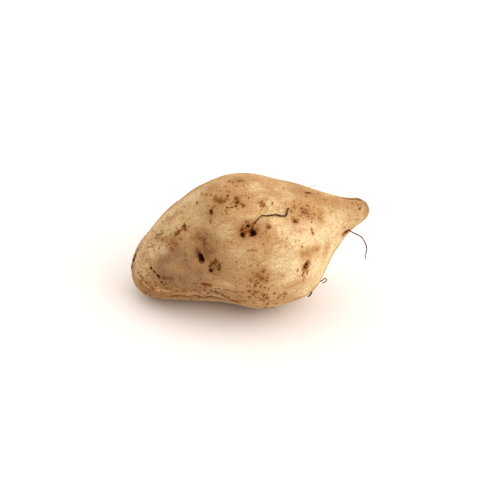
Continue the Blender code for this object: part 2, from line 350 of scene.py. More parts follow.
RUSSET_PATCHES = [
    *spots(Stain.RUSSET, 2.6, ((156.0, 238.0), (163.0, 240.5)), 0.56),
    *spots(Stain.RUSSET, 2.0, ((152.6, 246.2), (167.0, 241.4)), 0.56),
    *spots(Stain.RUSSET, 2.8, ((171.6, 242.0), (172.0, 248.6)), 0.60),
    *spots(Stain.RUSSET, 1.9, ((174.6, 236.0), (186.0, 255.0)), 0.62),
    *spots(Stain.RUSSET, 3.6, ((304.4, 211.6),), 0.76, 0.3),
    *spots(Stain.RUSSET, 2.0, ((294.2, 207.8), (291.6, 211.2)), 0.62),
    *spots(Stain.RUSSET, 3.4, ((313.0, 216.6), (309.4, 217.4), (318.6, 218.0), (320.6, 211.8)), 0.44),
    *spots(Stain.RUSSET, 2.0, ((207.0, 194.4), (202.0, 194.4)), 0.56),
    Mark(Stain.RUSSET, 2.3, ((202.6, 284.2), (209.4, 285.4)), 1.20, 0.3),
    *spots(Stain.RUSSET, 2.2, ((256.2, 275.0), (263.4, 271.2), (266.0, 281.6), (251.4, 280.2)), 0.7, 0.15),
    *spots(Stain.RUSSET, 3.4, ((260.4, 277.4),), 0.66, 0.15),
    *spots(Stain.RUSSET, 1.7, ((250.0, 291.2), (253.2, 294.2), (249.0, 296.6), (264.0, 295.2)), 0.95),
    *spots(Stain.RUSSET, 1.8, ((267.4, 297.6), (262.2, 299.4), (277.0, 303.6), (285.4, 294.2)), 0.82),
    *spots(Stain.RUSSET, 1.5, ((275.0, 293.4), (254.0, 302.6), (153.4, 289.4), (299.0, 297.0)), 0.84),
    *spots(Stain.RUSSET, 3.0, ((303.0, 254.4), (307.4, 253.0), (311.6, 250.6), (316.0, 249.4)), 0.46),
    *spots(Stain.RUSSET, 0.85, ((213.2, 278.6), (231.2, 242.2), (286.0, 246.2), (295.4, 242.2)), 0.72),
    *spots(Stain.RUSSET, 0.8, ((286.2, 202.2), (286.4, 239.2), (281.4, 233.4), (299.2, 240.6)), 0.62),
    *spots(Stain.RUSSET, 0.8, ((265.4, 252.6), (283.0, 241.4), (262.8, 245.2), (222.4, 222.6)), 0.62),
    *spots(Stain.RUSSET, 0.85, ((193.6, 206.0), (201.0, 193.0), (246.6, 188.8), (300.6, 203.4)), 0.62),
    *spots(Stain.RUSSET, 0.9, ((190.6, 273.4), (178.4, 268.2), (236.4, 262.2), (241.6, 268.4)), 0.66),
    *spots(Stain.RUSSET, 1.3, ((352.6, 203.4), (166.8, 278.4), (169.6, 278.6), (149.4, 282.6)), 0.66),
    Mark(Stain.RUSSET, 0.9, ((303.4, 279.0), (302.6, 284.0), (298.2, 288.6)), 0.36),
    Mark(Stain.RUSSET, 1.2, ((232.0, 301.2), (239.0, 300.4), (246.0, 301.4)), 0.8, 0.2),
    Mark(Stain.RUSSET, 1.0, ((141.0, 276.0), (147.0, 283.0), (153.0, 288.4)), 0.66, 0.2),
    Mark(Stain.RUSSET, 1.0, ((146.0, 287.6), (154.0, 291.0), (163.0, 294.6)), 0.72, 0.2),
    Mark(Stain.RUSSET, 1.0, ((153.0, 281.0), (161.0, 288.0), (172.0, 291.0)), 0.60, 0.2),
    Mark(Stain.RUSSET, 1.1, ((166.0, 287.0), (178.0, 291.4), (192.0, 291.8)), 0.60, 0.2),
]
AMBER_PATCHES = [
    *spots(Stain.AMBER, 5.8, ((302.4, 254.0), (309.0, 252.6), (315.0, 250.0)), 1.05),
    *spots(Stain.AMBER, 12.0, ((307.0, 211.6), (318.6, 213.4)), 0.90),
    *spots(Stain.AMBER, 9.0, ((330.0, 203.4), (320.0, 200.0), (296.6, 206.4)), 0.88),
    *spots(Stain.AMBER, 8.0, ((265.6, 236.6), (264.0, 248.6)), 0.54),
    *spots(Stain.AMBER, 6.0, ((252.4, 255.4), (266.0, 255.0)), 0.68),
    *spots(Stain.AMBER, 11.0, ((259.0, 277.0), (258.0, 293.0)), 0.62),
    *spots(Stain.AMBER, 9.0, ((277.6, 300.6), (288.0, 297.0), (267.0, 302.0)), 0.52),
    *spots(Stain.AMBER, 9.0, ((214.0, 187.6), (224.0, 190.6), (236.6, 196.4)), 0.60),
    *spots(Stain.AMBER, 9.0, ((220.0, 202.0), (206.4, 196.4), (244.0, 203.0)), 0.74),
    *spots(Stain.AMBER, 7.0, ((173.0, 240.0), (160.4, 240.6), (184.0, 230.0)), 0.45),
    *spots(Stain.AMBER, 7.0, ((253.0, 183.0), (296.0, 190.0), (309.0, 193.4)), 0.36),
    *spots(Stain.AMBER, 7.0, ((346.0, 203.0), (356.0, 206.0)), 0.50),
    *spots(Stain.AMBER, 7.0, ((206.0, 285.0), (160.0, 285.0), (146.0, 284.0)), 0.42),
    *spots(Stain.AMBER, 6.0, ((303.0, 281.0), (308.0, 268.0)), 0.50),
    Mark(Stain.AMBER, 5.0, ((258.6, 285.6), (270.0, 289.0), (286.0, 288.6), (298.0, 283.0)), 0.7),
    Mark(Stain.AMBER, 9.0, ((201.0, 237.0), (206.0, 246.0), (216.0, 243.0)), 0.76),
    Mark(Stain.AMBER, 2.8, ((218.0, 241.0), (231.0, 242.2)), 0.70),
    Mark(Stain.AMBER, 4.5, BELLY_STREAK, 0.5),
]
SOIL_PATCHES = [
    *spots(Stain.SOIL, 10.0, ((203.0, 240.0), (208.0, 249.0)), 0.62),
    *spots(Stain.SOIL, 8.0, ((168.0, 279.6), (180.0, 286.0)), 0.45),
    *spots(Stain.SOIL, 4.0, ((152.6, 289.0), (185.0, 290.4), (142.0, 284.0)), 0.68),
    Mark(Stain.SOIL, 1.6, ((172.0, 296.4), (180.0, 295.2), (186.0, 297.0), (196.0, 295.8)), 0.90, 0.4),
    Mark(Stain.SOIL, 1.6, ((196.0, 295.8), (204.0, 297.6), (212.0, 296.4), (221.0, 298.6)), 0.84, 0.4),
    Mark(Stain.SOIL, 1.5, ((211.0, 291.4), (219.4, 293.6), (228.0, 298.8), (240.0, 303.0)), 0.84, 0.4),
    Mark(Stain.SOIL, 1.0, ((224.0, 289.0), (232.0, 291.6), (244.0, 292.4)), 0.7, 0.2),
    Mark(Stain.SOIL, 1.0, ((160.0, 291.6), (170.0, 293.6), (178.0, 291.4)), 0.74, 0.2),
    Mark(Stain.SOIL, 0.9, ((186.0, 288.0), (196.0, 290.6), (206.0, 290.0)), 0.62, 0.15),
    Mark(Stain.SOIL, 0.9, ((138.0, 279.0), (145.0, 287.0), (154.0, 293.4)), 0.74, 0.2),
    Mark(Stain.SOIL, 2.4, ((163.0, 278.0), (172.0, 278.6)), 0.80, 0.2),
]
# Paler skin, and also painted light: the rims, the upper left flank and the lower right near the floor are
# painted lighter as rim sheen and light.
PALE_AND_LIGHT_PATCHES = [
    *spots(Stain.PALE_AND_PAINTED_LIGHT, 14.0, ((318.0, 241.0), (325.0, 231.0), (331.0, 219.0)), 0.76),
    *spots(Stain.PALE_AND_PAINTED_LIGHT, 12.0, ((300.0, 240.0), (310.0, 225.0), (296.0, 262.0), (317.0, 268.0)), 0.76),
    *spots(Stain.PALE_AND_PAINTED_LIGHT, 8.0, ((280.0, 262.0), (284.0, 232.0), (292.0, 278.0)), 0.58),
    *spots(Stain.PALE_AND_PAINTED_LIGHT, 7.0, ((276.0, 213.0), (272.0, 204.0)), 0.45),
    *spots(Stain.PALE_AND_PAINTED_LIGHT, 8.0, ((306.0, 291.0), (316.0, 280.0), (222.0, 234.0)), 0.72),
    *spots(Stain.PALE_AND_PAINTED_LIGHT, 6.0, ((216.0, 223.0), (226.0, 284.0), (254.0, 186.0), (290.0, 198.0)), 0.48),
    *spots(Stain.PALE_AND_PAINTED_LIGHT, 5.0, ((144.0, 274.0), (150.0, 268.0), (140.0, 266.0)), 0.60),
    *spots(Stain.PALE_AND_PAINTED_LIGHT, 6.0, ((280.0, 289.0), (291.0, 291.0)), 0.45),
    Mark(Stain.PALE_AND_PAINTED_LIGHT, 6.0, RIGHT_RIM_LIGHT, 0.95),
    Mark(Stain.PALE_AND_PAINTED_LIGHT, 1.5, ((143.0, 270.0), (150.0, 280.0), (160.0, 287.0)), 0.62),
    Mark(Stain.PALE_AND_PAINTED_LIGHT, 1.4, ((137.0, 276.0), (145.0, 284.0), (156.0, 290.0), (170.0, 292.4)), 0.62),
    Mark(Stain.PALE_AND_PAINTED_LIGHT, 1.5, ((176.0, 288.6), (190.0, 292.6), (204.0, 292.6)), 0.50),
    Mark(Stain.PALE_AND_PAINTED_LIGHT, 1.6, ((213.0, 286.6), (222.0, 287.6), (231.0, 291.0)), 0.42),
    *spots(Stain.PALE_AND_PAINTED_LIGHT, 7.0, ((175.0, 226.0), (167.0, 228.0), (281.0, 250.0)), 0.52),
    *spots(Stain.PALE_AND_PAINTED_LIGHT, 6.0, ((153.0, 252.0), (158.0, 249.0), (164.0, 249.0)), 0.9),
    Mark(Stain.PALE_AND_PAINTED_LIGHT, 8.0, LEFT_RIM_SHEEN, 0.62),
]
# Painted shade as well as darker skin: darker patches along the underside edge, over the lower left flank, in
# the hollow by the lower pit, round the main pit, along the top and under the nose bump.
SHADE_AND_DARK_PATCHES = [
    Mark(Stain.SHADE_AND_DARK_SKIN, 4.5, BELLY_EDGE, 1.0),
    *spots(Stain.SHADE_AND_DARK_SKIN, 13.0, ((163.0, 276.0), (173.0, 282.0), (186.0, 282.0), (200.0, 287.0)), 1.0),
    *spots(Stain.SHADE_AND_DARK_SKIN, 9.0, ((225.0, 293.0), (212.0, 291.0), (152.0, 284.0), (240.0, 297.0)), 0.62),
    *spots(Stain.SHADE_AND_DARK_SKIN, 10.0, ((203.0, 243.0), (207.0, 254.0), (198.0, 252.0)), 0.90),
    *spots(Stain.SHADE_AND_DARK_SKIN, 11.0, ((177.0, 251.0), (187.0, 263.0), (213.0, 268.0), (198.0, 272.0)), 0.94),
    *spots(Stain.SHADE_AND_DARK_SKIN, 9.0, ((246.0, 231.0), (254.0, 232.0)), 0.80),
    *spots(Stain.SHADE_AND_DARK_SKIN, 12.0, ((236.0, 199.0), (222.0, 199.0), (212.0, 212.0)), 0.66),
    *spots(Stain.SHADE_AND_DARK_SKIN, 9.0, ((210.0, 189.0), (238.0, 181.0), (300.0, 191.0), (312.0, 196.0)), 0.62),
    *spots(Stain.SHADE_AND_DARK_SKIN, 9.0, ((322.0, 200.0), (334.0, 201.0), (305.0, 212.0), (215.0, 240.0)), 0.60),
    *spots(Stain.SHADE_AND_DARK_SKIN, 6.0, ((362.0, 204.0), (348.0, 200.0)), 0.55),
    *spots(Stain.SHADE_AND_DARK_SKIN, 6.0, ((366.0, 204.0), (368.0, 210.0)), 0.90),
    *spots(Stain.SHADE_AND_DARK_SKIN, 9.0, ((258.0, 277.0), (256.0, 294.0), (172.0, 244.0)), 0.55),
    # painted shade on the underside of the nose bump
    Mark(Stain.SHADE_AND_DARK_SKIN, 5.0, ((169.0, 258.0), (162.0, 262.0), (158.0, 268.0)), 0.90, 0.40),
]
# Pinkish skin; the mark along the left rim is painted rim sheen.
BLUSH_AND_SHEEN_PATCHES = [
    Mark(Stain.BLUSH_AND_SHEEN, 5.0, ((166.0, 247.0), (158.0, 250.0), (151.0, 256.0)), 0.62, -0.50),
    Mark(Stain.BLUSH_AND_SHEEN, 6.0, ((139.0, 276.0), (139.0, 264.0), (143.0, 250.0), (151.0, 236.0)), 0.62),
    *spots(Stain.BLUSH_AND_SHEEN, 6.0, ((306.0, 222.0), (146.0, 270.0)), 0.40),
]
PLACED_MARKS = [
    *MAIN_PIT, *LOWER_PITS, *RIGHT_PITS, *UPPER_PITS, *SCARS,
    *RUSSET_PATCHES, *AMBER_PATCHES, *SOIL_PATCHES, *PALE_AND_LIGHT_PATCHES, *SHADE_AND_DARK_PATCHES, *BLUSH_AND_SHEEN_PATCHES,
]
CLUSTERS = [
    Cluster((160.0, 240.0), 13.0, 20),
    Cluster((176.0, 236.0), 11.0, 20),
    Cluster((184.0, 227.0), 8.0, 10),
    Cluster((216.0, 200.0), 14.0, 20),
    Cluster((238.0, 202.0), 12.0, 22),
    Cluster((240.0, 181.0), 9.0, 8),
    Cluster((263.0, 206.0), 9.0, 8),
    Cluster((296.0, 210.0), 11.0, 9),
    Cluster((306.0, 212.0), 10.0, 18),
    Cluster((317.0, 213.0), 12.0, 12, Stain.RUSSET, (0.6, 1.2), (0.4, 0.7)),
    Cluster((308.0, 252.0), 9.0, 6, Stain.RUSSET, (0.6, 1.0), (0.4, 0.7)),
    Cluster((304.0, 274.0), 8.0, 9),
    Cluster((258.0, 277.0), 13.0, 24, Stain.RUSSET, (0.6, 1.3), (0.5, 0.9), 0.9),
    Cluster((257.0, 294.0), 13.0, 20, Stain.RUSSET, (0.6, 1.3), (0.5, 0.9), 0.9),
    Cluster((284.0, 295.0), 12.0, 12, Stain.RUSSET, (0.6, 1.2), (0.45, 0.8), 0.9),
    Cluster((272.0, 303.0), 10.0, 8),
    Cluster((207.0, 286.0), 9.0, 12),
    Cluster((214.0, 267.0), 9.0, 9),
    Cluster((160.0, 285.0), 12.0, 12),
    Cluster((144.0, 282.0), 10.0, 14),
    Cluster((190.0, 290.0), 16.0, 16),
    Cluster((230.0, 294.0), 14.0, 12),
    Cluster((281.0, 243.0), 17.0, 8, Stain.RUSSET, (0.4, 0.7), (0.3, 0.5)),
    Cluster((266.0, 240.0), 11.0, 14, Stain.RUSSET, (0.4, 0.8), (0.35, 0.6), 2.0),
    Cluster((238.0, 202.0), 8.0, 12, Stain.PIT, (0.45, 0.7), (0.50, 0.80)),
    Cluster((226.0, 204.0), 9.0, 7, Stain.PIT, (0.4, 0.65), (0.45, 0.70)),
    Cluster((173.0, 240.0), 9.0, 6, Stain.PIT, (0.4, 0.6), (0.45, 0.7)),
    Cluster((184.0, 228.0), 4.0, 5, Stain.PIT, (0.4, 0.6), (0.5, 0.8)),
    Cluster((216.0, 266.0), 6.0, 8, Stain.PIT, (0.4, 0.7), (0.45, 0.75)),
    Cluster((303.0, 211.0), 7.0, 8, Stain.PIT, (0.4, 0.65), (0.40, 0.65)),
    Cluster((260.0, 295.0), 14.0, 12, Stain.PIT, (0.4, 0.65), (0.45, 0.75)),
    Cluster((150.0, 286.0), 8.0, 6, Stain.PIT, (0.4, 0.6), (0.45, 0.75)),
    Cluster((205.0, 285.0), 6.0, 5, Stain.PIT, (0.4, 0.6), (0.45, 0.75)),
    Cluster((200.0, 295.0), 18.0, 16, Stain.SOIL, (0.5, 0.9), (0.6, 0.95), 2.2),
    Cluster((172.0, 291.0), 12.0, 12, Stain.SOIL, (0.5, 0.9), (0.6, 0.95), 2.0),
    Cluster((150.0, 290.0), 9.0, 9, Stain.SOIL, (0.5, 0.9), (0.6, 0.95), 1.8),
    Cluster((247.0, 230.0), 8.0, 9, Stain.PIT, (0.5, 0.9), (0.40, 0.70)),
    Cluster((356.0, 205.0), 8.0, 6, Stain.RUSSET, (0.5, 0.9), (0.4, 0.6)),
    Cluster((328.0, 200.0), 12.0, 6, Stain.RUSSET, (0.5, 0.9), (0.35, 0.6)),
    Cluster((345.0, 233.0), 4.0, 5),
    Cluster((360.0, 203.0), 6.0, 6, Stain.SOIL),
    Cluster((142.0, 258.0), 9.0, 22, Stain.RUSSET, (0.35, 0.6), (0.45, 0.75)),
    Cluster((147.0, 273.0), 10.0, 22, Stain.RUSSET, (0.35, 0.6), (0.45, 0.75)),
    Cluster((150.0, 243.0), 10.0, 18, Stain.RUSSET, (0.35, 0.6), (0.45, 0.75)),
    Cluster((160.0, 229.0), 12.0, 16, Stain.RUSSET, (0.35, 0.55), (0.40, 0.65)),
    Cluster((178.0, 209.0), 14.0, 14, Stain.RUSSET, (0.35, 0.55), (0.40, 0.65)),
    Cluster((232.0, 180.0), 24.0, 22, Stain.RUSSET, (0.35, 0.6), (0.40, 0.70)),
    Cluster((165.0, 293.0), 14.0, 18, Stain.PIT, (0.35, 0.5), (0.40, 0.65)),
    Cluster((206.0, 296.0), 16.0, 16, Stain.PIT, (0.35, 0.5), (0.40, 0.65), 1.6),
]


@dataclass(frozen=True)
class WildKind:
    """One kind of mark for the sides that the photograph doesn't show. Sizes are in metres."""

    stain: Stain
    share: float
    half_widths: tuple[float, float]
    strengths: tuple[float, float]
    depth: float


WILD_KINDS = (
    WildKind(Stain.RUSSET, 0.38, (0.0004, 0.0018), (0.62, 0.95), 0.0002),
    WildKind(Stain.AMBER, 0.24, (0.0025, 0.0065), (0.62, 0.82), 0.0),
    WildKind(Stain.PIT, 0.14, (0.0004, 0.0011), (0.85, 1.05), 0.0007),
    WildKind(Stain.SOIL, 0.10, (0.0004, 0.0007), (0.68, 0.84), 0.0002),
    WildKind(Stain.PALE_AND_PAINTED_LIGHT, 0.14, (0.0030, 0.0060), (0.62, 0.78), 0.0),
)


@dataclass
class PlacedMark:
    """A mark in its place on the skin, in metres."""

    stain: Stain
    half_width: float
    points: np.ndarray
    strength: float
    depth: float


@dataclass(frozen=True)
class Rings:
    """Shallow rings round one end of the root, in metres."""

    height: float
    spacing: float
    wander: float
    tilt: float = 0.0

    def wave(self, run: np.ndarray, turn: np.ndarray, noise: np.ndarray) -> np.ndarray:
        """The rings' rise and fall, from -1 to 1.

        Args:
            run: how far each point is along the root.
            turn: how far each point is round the root, in radians.
            noise: what makes the rings wander.

        Returns:
            One value for each point.
        """
        return np.sin(2 * math.pi * (run + self.wander * noise + self.tilt * np.sin(turn)) / self.spacing)


@dataclass
class Skin:
    """The fine skin of the root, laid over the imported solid, with its wrinkles, pits and stains.

    The rows of the mesh run from the stem end to the tail, and its columns run round the root. Lumps are
    pairs of a height and a spacing. Zones are where something fades in or out along the root.
    """

    rows: int = 296
    columns: int = 332
    lean: float = 18.8
    row_step: float = 0.00053
    column_step: float = 0.00070
    stem_centre: tuple[float, float, float] = (-0.0500, 0.0030, 0.0193)
    tail_centre: tuple[float, float, float] = (0.0594, 0.0000, 0.0572)
    stem_cap: float = 0.2
    body_share: float = 0.7
    tail_cap: float = 0.1
    crowding: float = 0.6
    crowded_at: float = 35.0
    facet_blur: float = 0.0013
    outlier_blur: float = 0.0030
    outlier: float = 0.00018
    outlier_rounds: int = 4
    edge_on: float = 0.04
    usual_radius: float = 0.034
    lumps: tuple[tuple[float, float], ...] = ((0.00022, 0.0110), (0.00009, 0.0050), (0.00004, 0.0022))
    stem_rings: Rings = Rings(height=0.00020, spacing=0.0024, wander=0.0016, tilt=0.0022)
    tail_rings: Rings = Rings(height=0.00008, spacing=0.0019, wander=0.0010)
    ring_wander: float = 0.009
    ring_patch: float = 0.012
    stem_zone: tuple[float, float] = (0.000, 0.022)
    tail_zone: tuple[float, float] = (0.092, 0.108)
    stem_streak_zone: tuple[float, float] = (0.002, 0.022)
    tail_streak_zone: tuple[float, float] = (0.086, 0.104)
    vein_height: float = 0.00005
    vein_length: float = 0.014
    vein_width: float = 0.0016
    vein_depth: float = 0.02
    wild_marks: int = 150
    seed: int = 11
    points: np.ndarray = field(init=False)
    normals: np.ndarray = field(init=False)
    stains: dict[Stain, np.ndarray] = field(init=False)

    def axis(self) -> tuple[np.ndarray, np.ndarray, np.ndarray]:
        """The root's own directions.

        Returns:
            The directions along the root, to its front flank and to its top.
        """
        tilt = math.radians(self.lean)
        along = np.array([math.cos(tilt), 0.0, math.sin(tilt)])
        return along, np.array([0.0, -1.0, 0.0]), np.array([-math.sin(tilt), 0.0, math.cos(tilt)])

    def fan(self, shares: np.ndarray) -> tuple[np.ndarray, np.ndarray]:
        """Where each row's rays start and how far they tip towards an end.

        Args:
            shares: how far each row is from the stem end's pole, from 0 to 1.

        Returns:
            The starting points, and the tips in radians.
        """
        stem, tail = np.array(self.stem_centre), np.array(self.tail_centre)
        slide = np.clip((shares - self.stem_cap) / self.body_share, 0, 1)
        to_stem = np.clip(1 - shares / self.stem_cap, 0, 1)
        to_tail = np.clip((shares - (1 - self.tail_cap)) / self.tail_cap, 0, 1)
        tips = -math.pi / 2 * to_stem + math.pi / 2 * to_tail
        return stem + slide[:, None] * (tail - stem), tips

    def directions(self, tips: np.ndarray, turns: np.ndarray) -> np.ndarray:
        """Ray directions.

        Args:
            tips: how far each row tips towards an end, in radians.
            turns: how far each column is round the root, in radians.

        Returns:
            One direction for each row and column.
        """
        along, front, top = self.axis()
        around = np.cos(turns)[:, None] * front + np.sin(turns)[:, None] * top
        return np.cos(tips)[:, None, None] * around[None] + np.sin(tips)[:, None, None] * along

    def reach(self, solid: BVHTree, starts: np.ndarray, rays: np.ndarray) -> np.ndarray:
        """How far each ray runs inside the solid before it first leaves it.

        Args:
            solid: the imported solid.
            starts: where each row's rays start.
            rays: the direction of each row's and column's ray.

        Returns:
            One distance for each row and column.
        """
        out = np.empty(rays.shape[:2])
        for row, start in enumerate(starts):
            origin = Vector(start)
            for column, ray in enumerate(rays[row]):
                out[row, column] = solid.ray_cast(origin, Vector(ray))[3]
        return out

    def even_rows(self, solid: BVHTree) -> np.ndarray:
        """Places for the rows that put them evenly along the skin.

        Args:
            solid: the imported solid.

        Returns:
            How far each row is from the stem end's pole, from 0 to 1.
        """
        shares = np.linspace(0, 1, 400)
        starts, tips = self.fan(shares)
        rays = self.directions(tips, np.linspace(0, 2 * math.pi, 9)[:-1])
        hits = starts[:, None] + rays * self.reach(solid, starts, rays)[:, :, None]
        steps = np.linalg.norm(np.diff(hits, axis=0), axis=2).mean(axis=1)
        gone = np.concatenate([[0], np.cumsum(steps)])
        return np.interp(np.linspace(0, gone[-1], self.rows), gone, shares)

    def crowded_turns(self) -> np.ndarray:
        """Places for the columns, closer together on the side that the photograph shows.

        Returns:
            Each column's angle round the root, in radians.
        """
        fine = np.linspace(0, 2 * math.pi, 2000)
        peak = math.radians(self.crowded_at)
        gone = fine + self.crowding * (np.sin(fine - peak) + math.sin(peak))
        return np.interp(np.linspace(0, 2 * math.pi, self.columns + 1)[:-1], gone, fine)

    def blurred(self, values: np.ndarray, width: float) -> np.ndarray:
        """Values evened out over the skin.

        Args:
            values: one value for each row and column.
            width: how far to even them out, in metres.

        Returns:
            The evened values.
        """
        for axis, step in ((0, self.row_step), (1, self.column_step)):
            half = max(1, math.ceil(2.5 * width / step))
            weights = np.exp(-0.5 * (np.arange(-half, half + 1) * step / width) ** 2)
            weights /= weights.sum()
            if axis == 0:
                padded = np.pad(values, ((half, half), (0, 0)), mode="edge")
                values = sum(w * padded[i : i + self.rows] for i, w in enumerate(weights))
            else:
                values = sum(w * np.roll(values, i - half, axis=1) for i, w in enumerate(weights))
        return values

    def lay(self, node: bpy.types.Object) -> None:
        """Finds the skin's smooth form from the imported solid, without its facets, rootlets and pits.

        Args:
            node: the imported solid.
        """
        corners = [vert.co.copy() for vert in node.data.vertices]
        solid = BVHTree.FromPolygons(corners, [tuple(face.vertices) for face in node.data.polygons])
        starts, tips = self.fan(self.even_rows(solid))
        rays = self.directions(tips, self.crowded_turns())
        far = self.reach(solid, starts, rays)
        for _ in range(self.outlier_rounds):
            even = self.blurred(far, self.outlier_blur)
            far = np.where(abs(far - even) > self.outlier, even, far)
        far = self.blurred(far, self.facet_blur)
        self.points = starts[:, None] + rays * far[:, :, None]
        self.find_normals()

    def find_normals(self) -> None:
        """Outward directions from the skin's own slopes."""
        down = np.gradient(self.points, axis=0)
        across = (np.roll(self.points, -1, axis=1) - np.roll(self.points, 1, axis=1)) / 2
        self.normals = unit(np.cross(down, across))
        along = self.axis()[0]
        self.normals[0], self.normals[-1] = -along, along

    def seen(self, camera: PhotoCamera) -> np.ndarray:
        """True for each point of the skin that faces the camera."""
        towards = unit(camera.place() - self.points)
        return (towards * self.normals).sum(axis=2) > self.edge_on

    def placed(self, marks: list[Mark], camera: PhotoCamera) -> list[PlacedMark]:
        """Puts the photograph's marks on the skin.

        Args:
            marks: the marks, in pixels of the photograph.
            camera: the photograph's camera.

        Returns:
            The marks in their places.
        """
        flat = self.points.reshape(-1, 3)[self.seen(camera).ravel()]
        pixels = camera.pixels(flat)
        metres = camera.sensor / camera.lens / FRAME_PX * camera.distance
        out = []
        for mark in marks:
            nearest = [np.argmin(((pixels - place) ** 2).sum(axis=1)) for place in mark.route]
            half = mark.half_width * metres
            out.append(PlacedMark(mark.stain, half, flat[nearest], mark.strength, mark.depth_mm / 1000))
        return out

    def wild(self, camera: PhotoCamera) -> list[PlacedMark]:
        """Marks like the photographed ones for the sides that the photograph doesn't show.

        Args:
            camera: the photograph's camera.

        Returns:
            The marks in their places.
        """
        rng = np.random.default_rng(self.seed)
        hidden = self.points.reshape(-1, 3)[~self.seen(camera).ravel()]
        along = self.axis()[0]
        shares = [kind.share for kind in WILD_KINDS]
        out = []
        for _ in range(self.wild_marks):
            kind = WILD_KINDS[rng.choice(len(WILD_KINDS), p=shares)]
            start = hidden[rng.integers(len(hidden))]
            points = [start]
            if kind.stain is Stain.SOIL:
                points.append(start + along * rng.uniform(0.003, 0.009) + rng.uniform(-0.0008, 0.0008, 3))
            half, strength = rng.uniform(*kind.half_widths), rng.uniform(*kind.strengths)
            depth = kind.depth * half / kind.half_widths[1]
            out.append(PlacedMark(kind.stain, half, np.array(points), strength, depth))
        return out

    def distance(self, points: np.ndarray, flat: np.ndarray) -> np.ndarray:
        """How far every point of the skin is from a mark's line.

        Args:
            points: the stops of the mark's line.
            flat: the points of the skin.

        Returns:
            One distance for each point of the skin.
        """
        nearest = np.linalg.norm(flat - points[0], axis=1)
        for start, end in zip(points, points[1:]):
            run = end - start
            share = np.clip((flat - start) @ run / max(run @ run, 1e-12), 0, 1)
            nearest = np.minimum(nearest, np.linalg.norm(flat - start - share[:, None] * run, axis=1))
        return nearest

    def wrinkles(self, flat: np.ndarray) -> np.ndarray:
        """The skin's own unevenness: lumps, rings round both ends and fine veins along the body.

        Args:
            flat: the points of the skin.

        Returns:
            How far each point stands out, in metres.
        """
        noise = LatticeNoise(self.seed)
        along, front, top = self.axis()
        stem = np.array(self.stem_centre)
        run = (flat - stem) @ along
        side = flat - stem - run[:, None] * along
        turn = np.arctan2(side @ top, side @ front)
        radius = np.linalg.norm(side, axis=1)

        lumps = sum(height * noise.at(flat, spacing) for height, spacing in self.lumps)
        wander = noise.at(flat, self.ring_wander)
        stem_share, tail_share = 1 - ramp(run, *self.stem_zone), ramp(run, *self.tail_zone)
        stem_rings = self.stem_rings.height * stem_share * self.stem_rings.wave(run, turn, wander)
        tail_rings = self.tail_rings.height * tail_share * self.tail_rings.wave(run, turn, wander)
        patchy = 0.5 + 0.5 * noise.at(flat + 0.05, self.ring_patch)

        around = turn * self.usual_radius / self.vein_width
        streaks = np.stack([run / self.vein_length, around, radius / self.vein_depth], axis=-1)
        veins = noise.at(streaks, 1.0) + 0.5 * noise.at(streaks * (2.3, 2.1, 1), 1.0)
        body = (1 - stem_share) * (1 - tail_share)
        return lumps + (stem_rings + tail_rings) * patchy + self.vein_height * body * veins

    def weather(self, marks: list[PlacedMark]) -> None:
        """Raises the wrinkles, sinks the marks and stores how strongly each point is stained.

        Args:
            marks: the marks in their places.
        """
        flat = self.points.reshape(-1, 3)
        height = self.wrinkles(flat)
        self.stains = {stain: np.zeros(len(flat)) for stain in Stain}
        sunk = np.zeros(len(flat))
        for mark in marks:
            away = self.distance(mark.points, flat) / mark.half_width
            value = mark.strength * np.clip(1 - away / 2, 0, 1)
            self.stains[mark.stain] = np.maximum(self.stains[mark.stain], value)
            if mark.depth > 0:
                sunk = np.maximum(sunk, mark.depth * np.exp(-(away**2)))
            elif mark.depth < 0:
                height -= mark.depth * np.exp(-(away**2))
        flat = flat + self.normals.reshape(-1, 3) * (height - sunk)[:, None]
        flat[:, 2] = np.maximum(flat[:, 2], 0.0)
        self.points = flat.reshape(self.points.shape)

    def faces(self) -> list[tuple[int, ...]]:
        """The skin's faces: a fan at each pole and a band between each pair of rows.

        Returns:
            Each face's points.
        """
        rows, columns = self.rows, self.columns
        index = np.arange(columns)
        after = (index + 1) % columns
        bands = []
        for row in range(rows - 3):
            near, far = row * columns, (row + 1) * columns
            bands.append(np.stack([near + index, near + after, far + after, far + index], axis=-1))
        out = [tuple(face) for face in np.concatenate(bands).tolist()]
        stem_pole = (rows - 2) * columns
        tail_pole = stem_pole + 1
        out += [(stem_pole, int(b), int(a)) for a, b in zip(index, after)]
        end = (rows - 3) * columns
        out += [(tail_pole, int(end + a), int(end + b)) for a, b in zip(index, after)]
        return out

    def add_stains(self, mesh: bpy.types.Mesh) -> None:
        """Stores each stain on the mesh.

        Args:
            mesh: the skin's mesh.
        """
        for stain, values in self.stains.items():
            grid = values.reshape(self.rows, self.columns)
            kept = np.concatenate([grid[1:-1].ravel(), [grid[0, 0], grid[-1, 0]]])
            layer = mesh.attributes.new(stain.value, "FLOAT", "POINT")
            layer.data.foreach_set("value", kept.astype(np.float32))

    def add_course(self, mesh: bpy.types.Mesh) -> None:
        """Stores where each point lies along and round the root, and how near it is to an end.

        Args:
            mesh: the skin's mesh.
        """
        points = np.empty(len(mesh.vertices) * 3, dtype=np.float32)
        mesh.vertices.foreach_get("co", points)
        along, front, top = self.axis()
        away = points.reshape(-1, 3) - np.array(self.stem_centre)
        run = away @ along
        side = unit(np.stack([away @ front, away @ top], axis=-1)) * self.usual_radius
        course = mesh.attributes.new("course", "FLOAT_VECTOR", "POINT")
        course.data.foreach_set("vector", np.column_stack([run, side]).astype(np.float32).ravel())
        ends = mesh.attributes.new("ends", "FLOAT", "POINT")
        near = np.maximum(1 - ramp(run, *self.stem_streak_zone), 0.5 * ramp(run, *self.tail_streak_zone))
        ends.data.foreach_set("value", near.astype(np.float32))

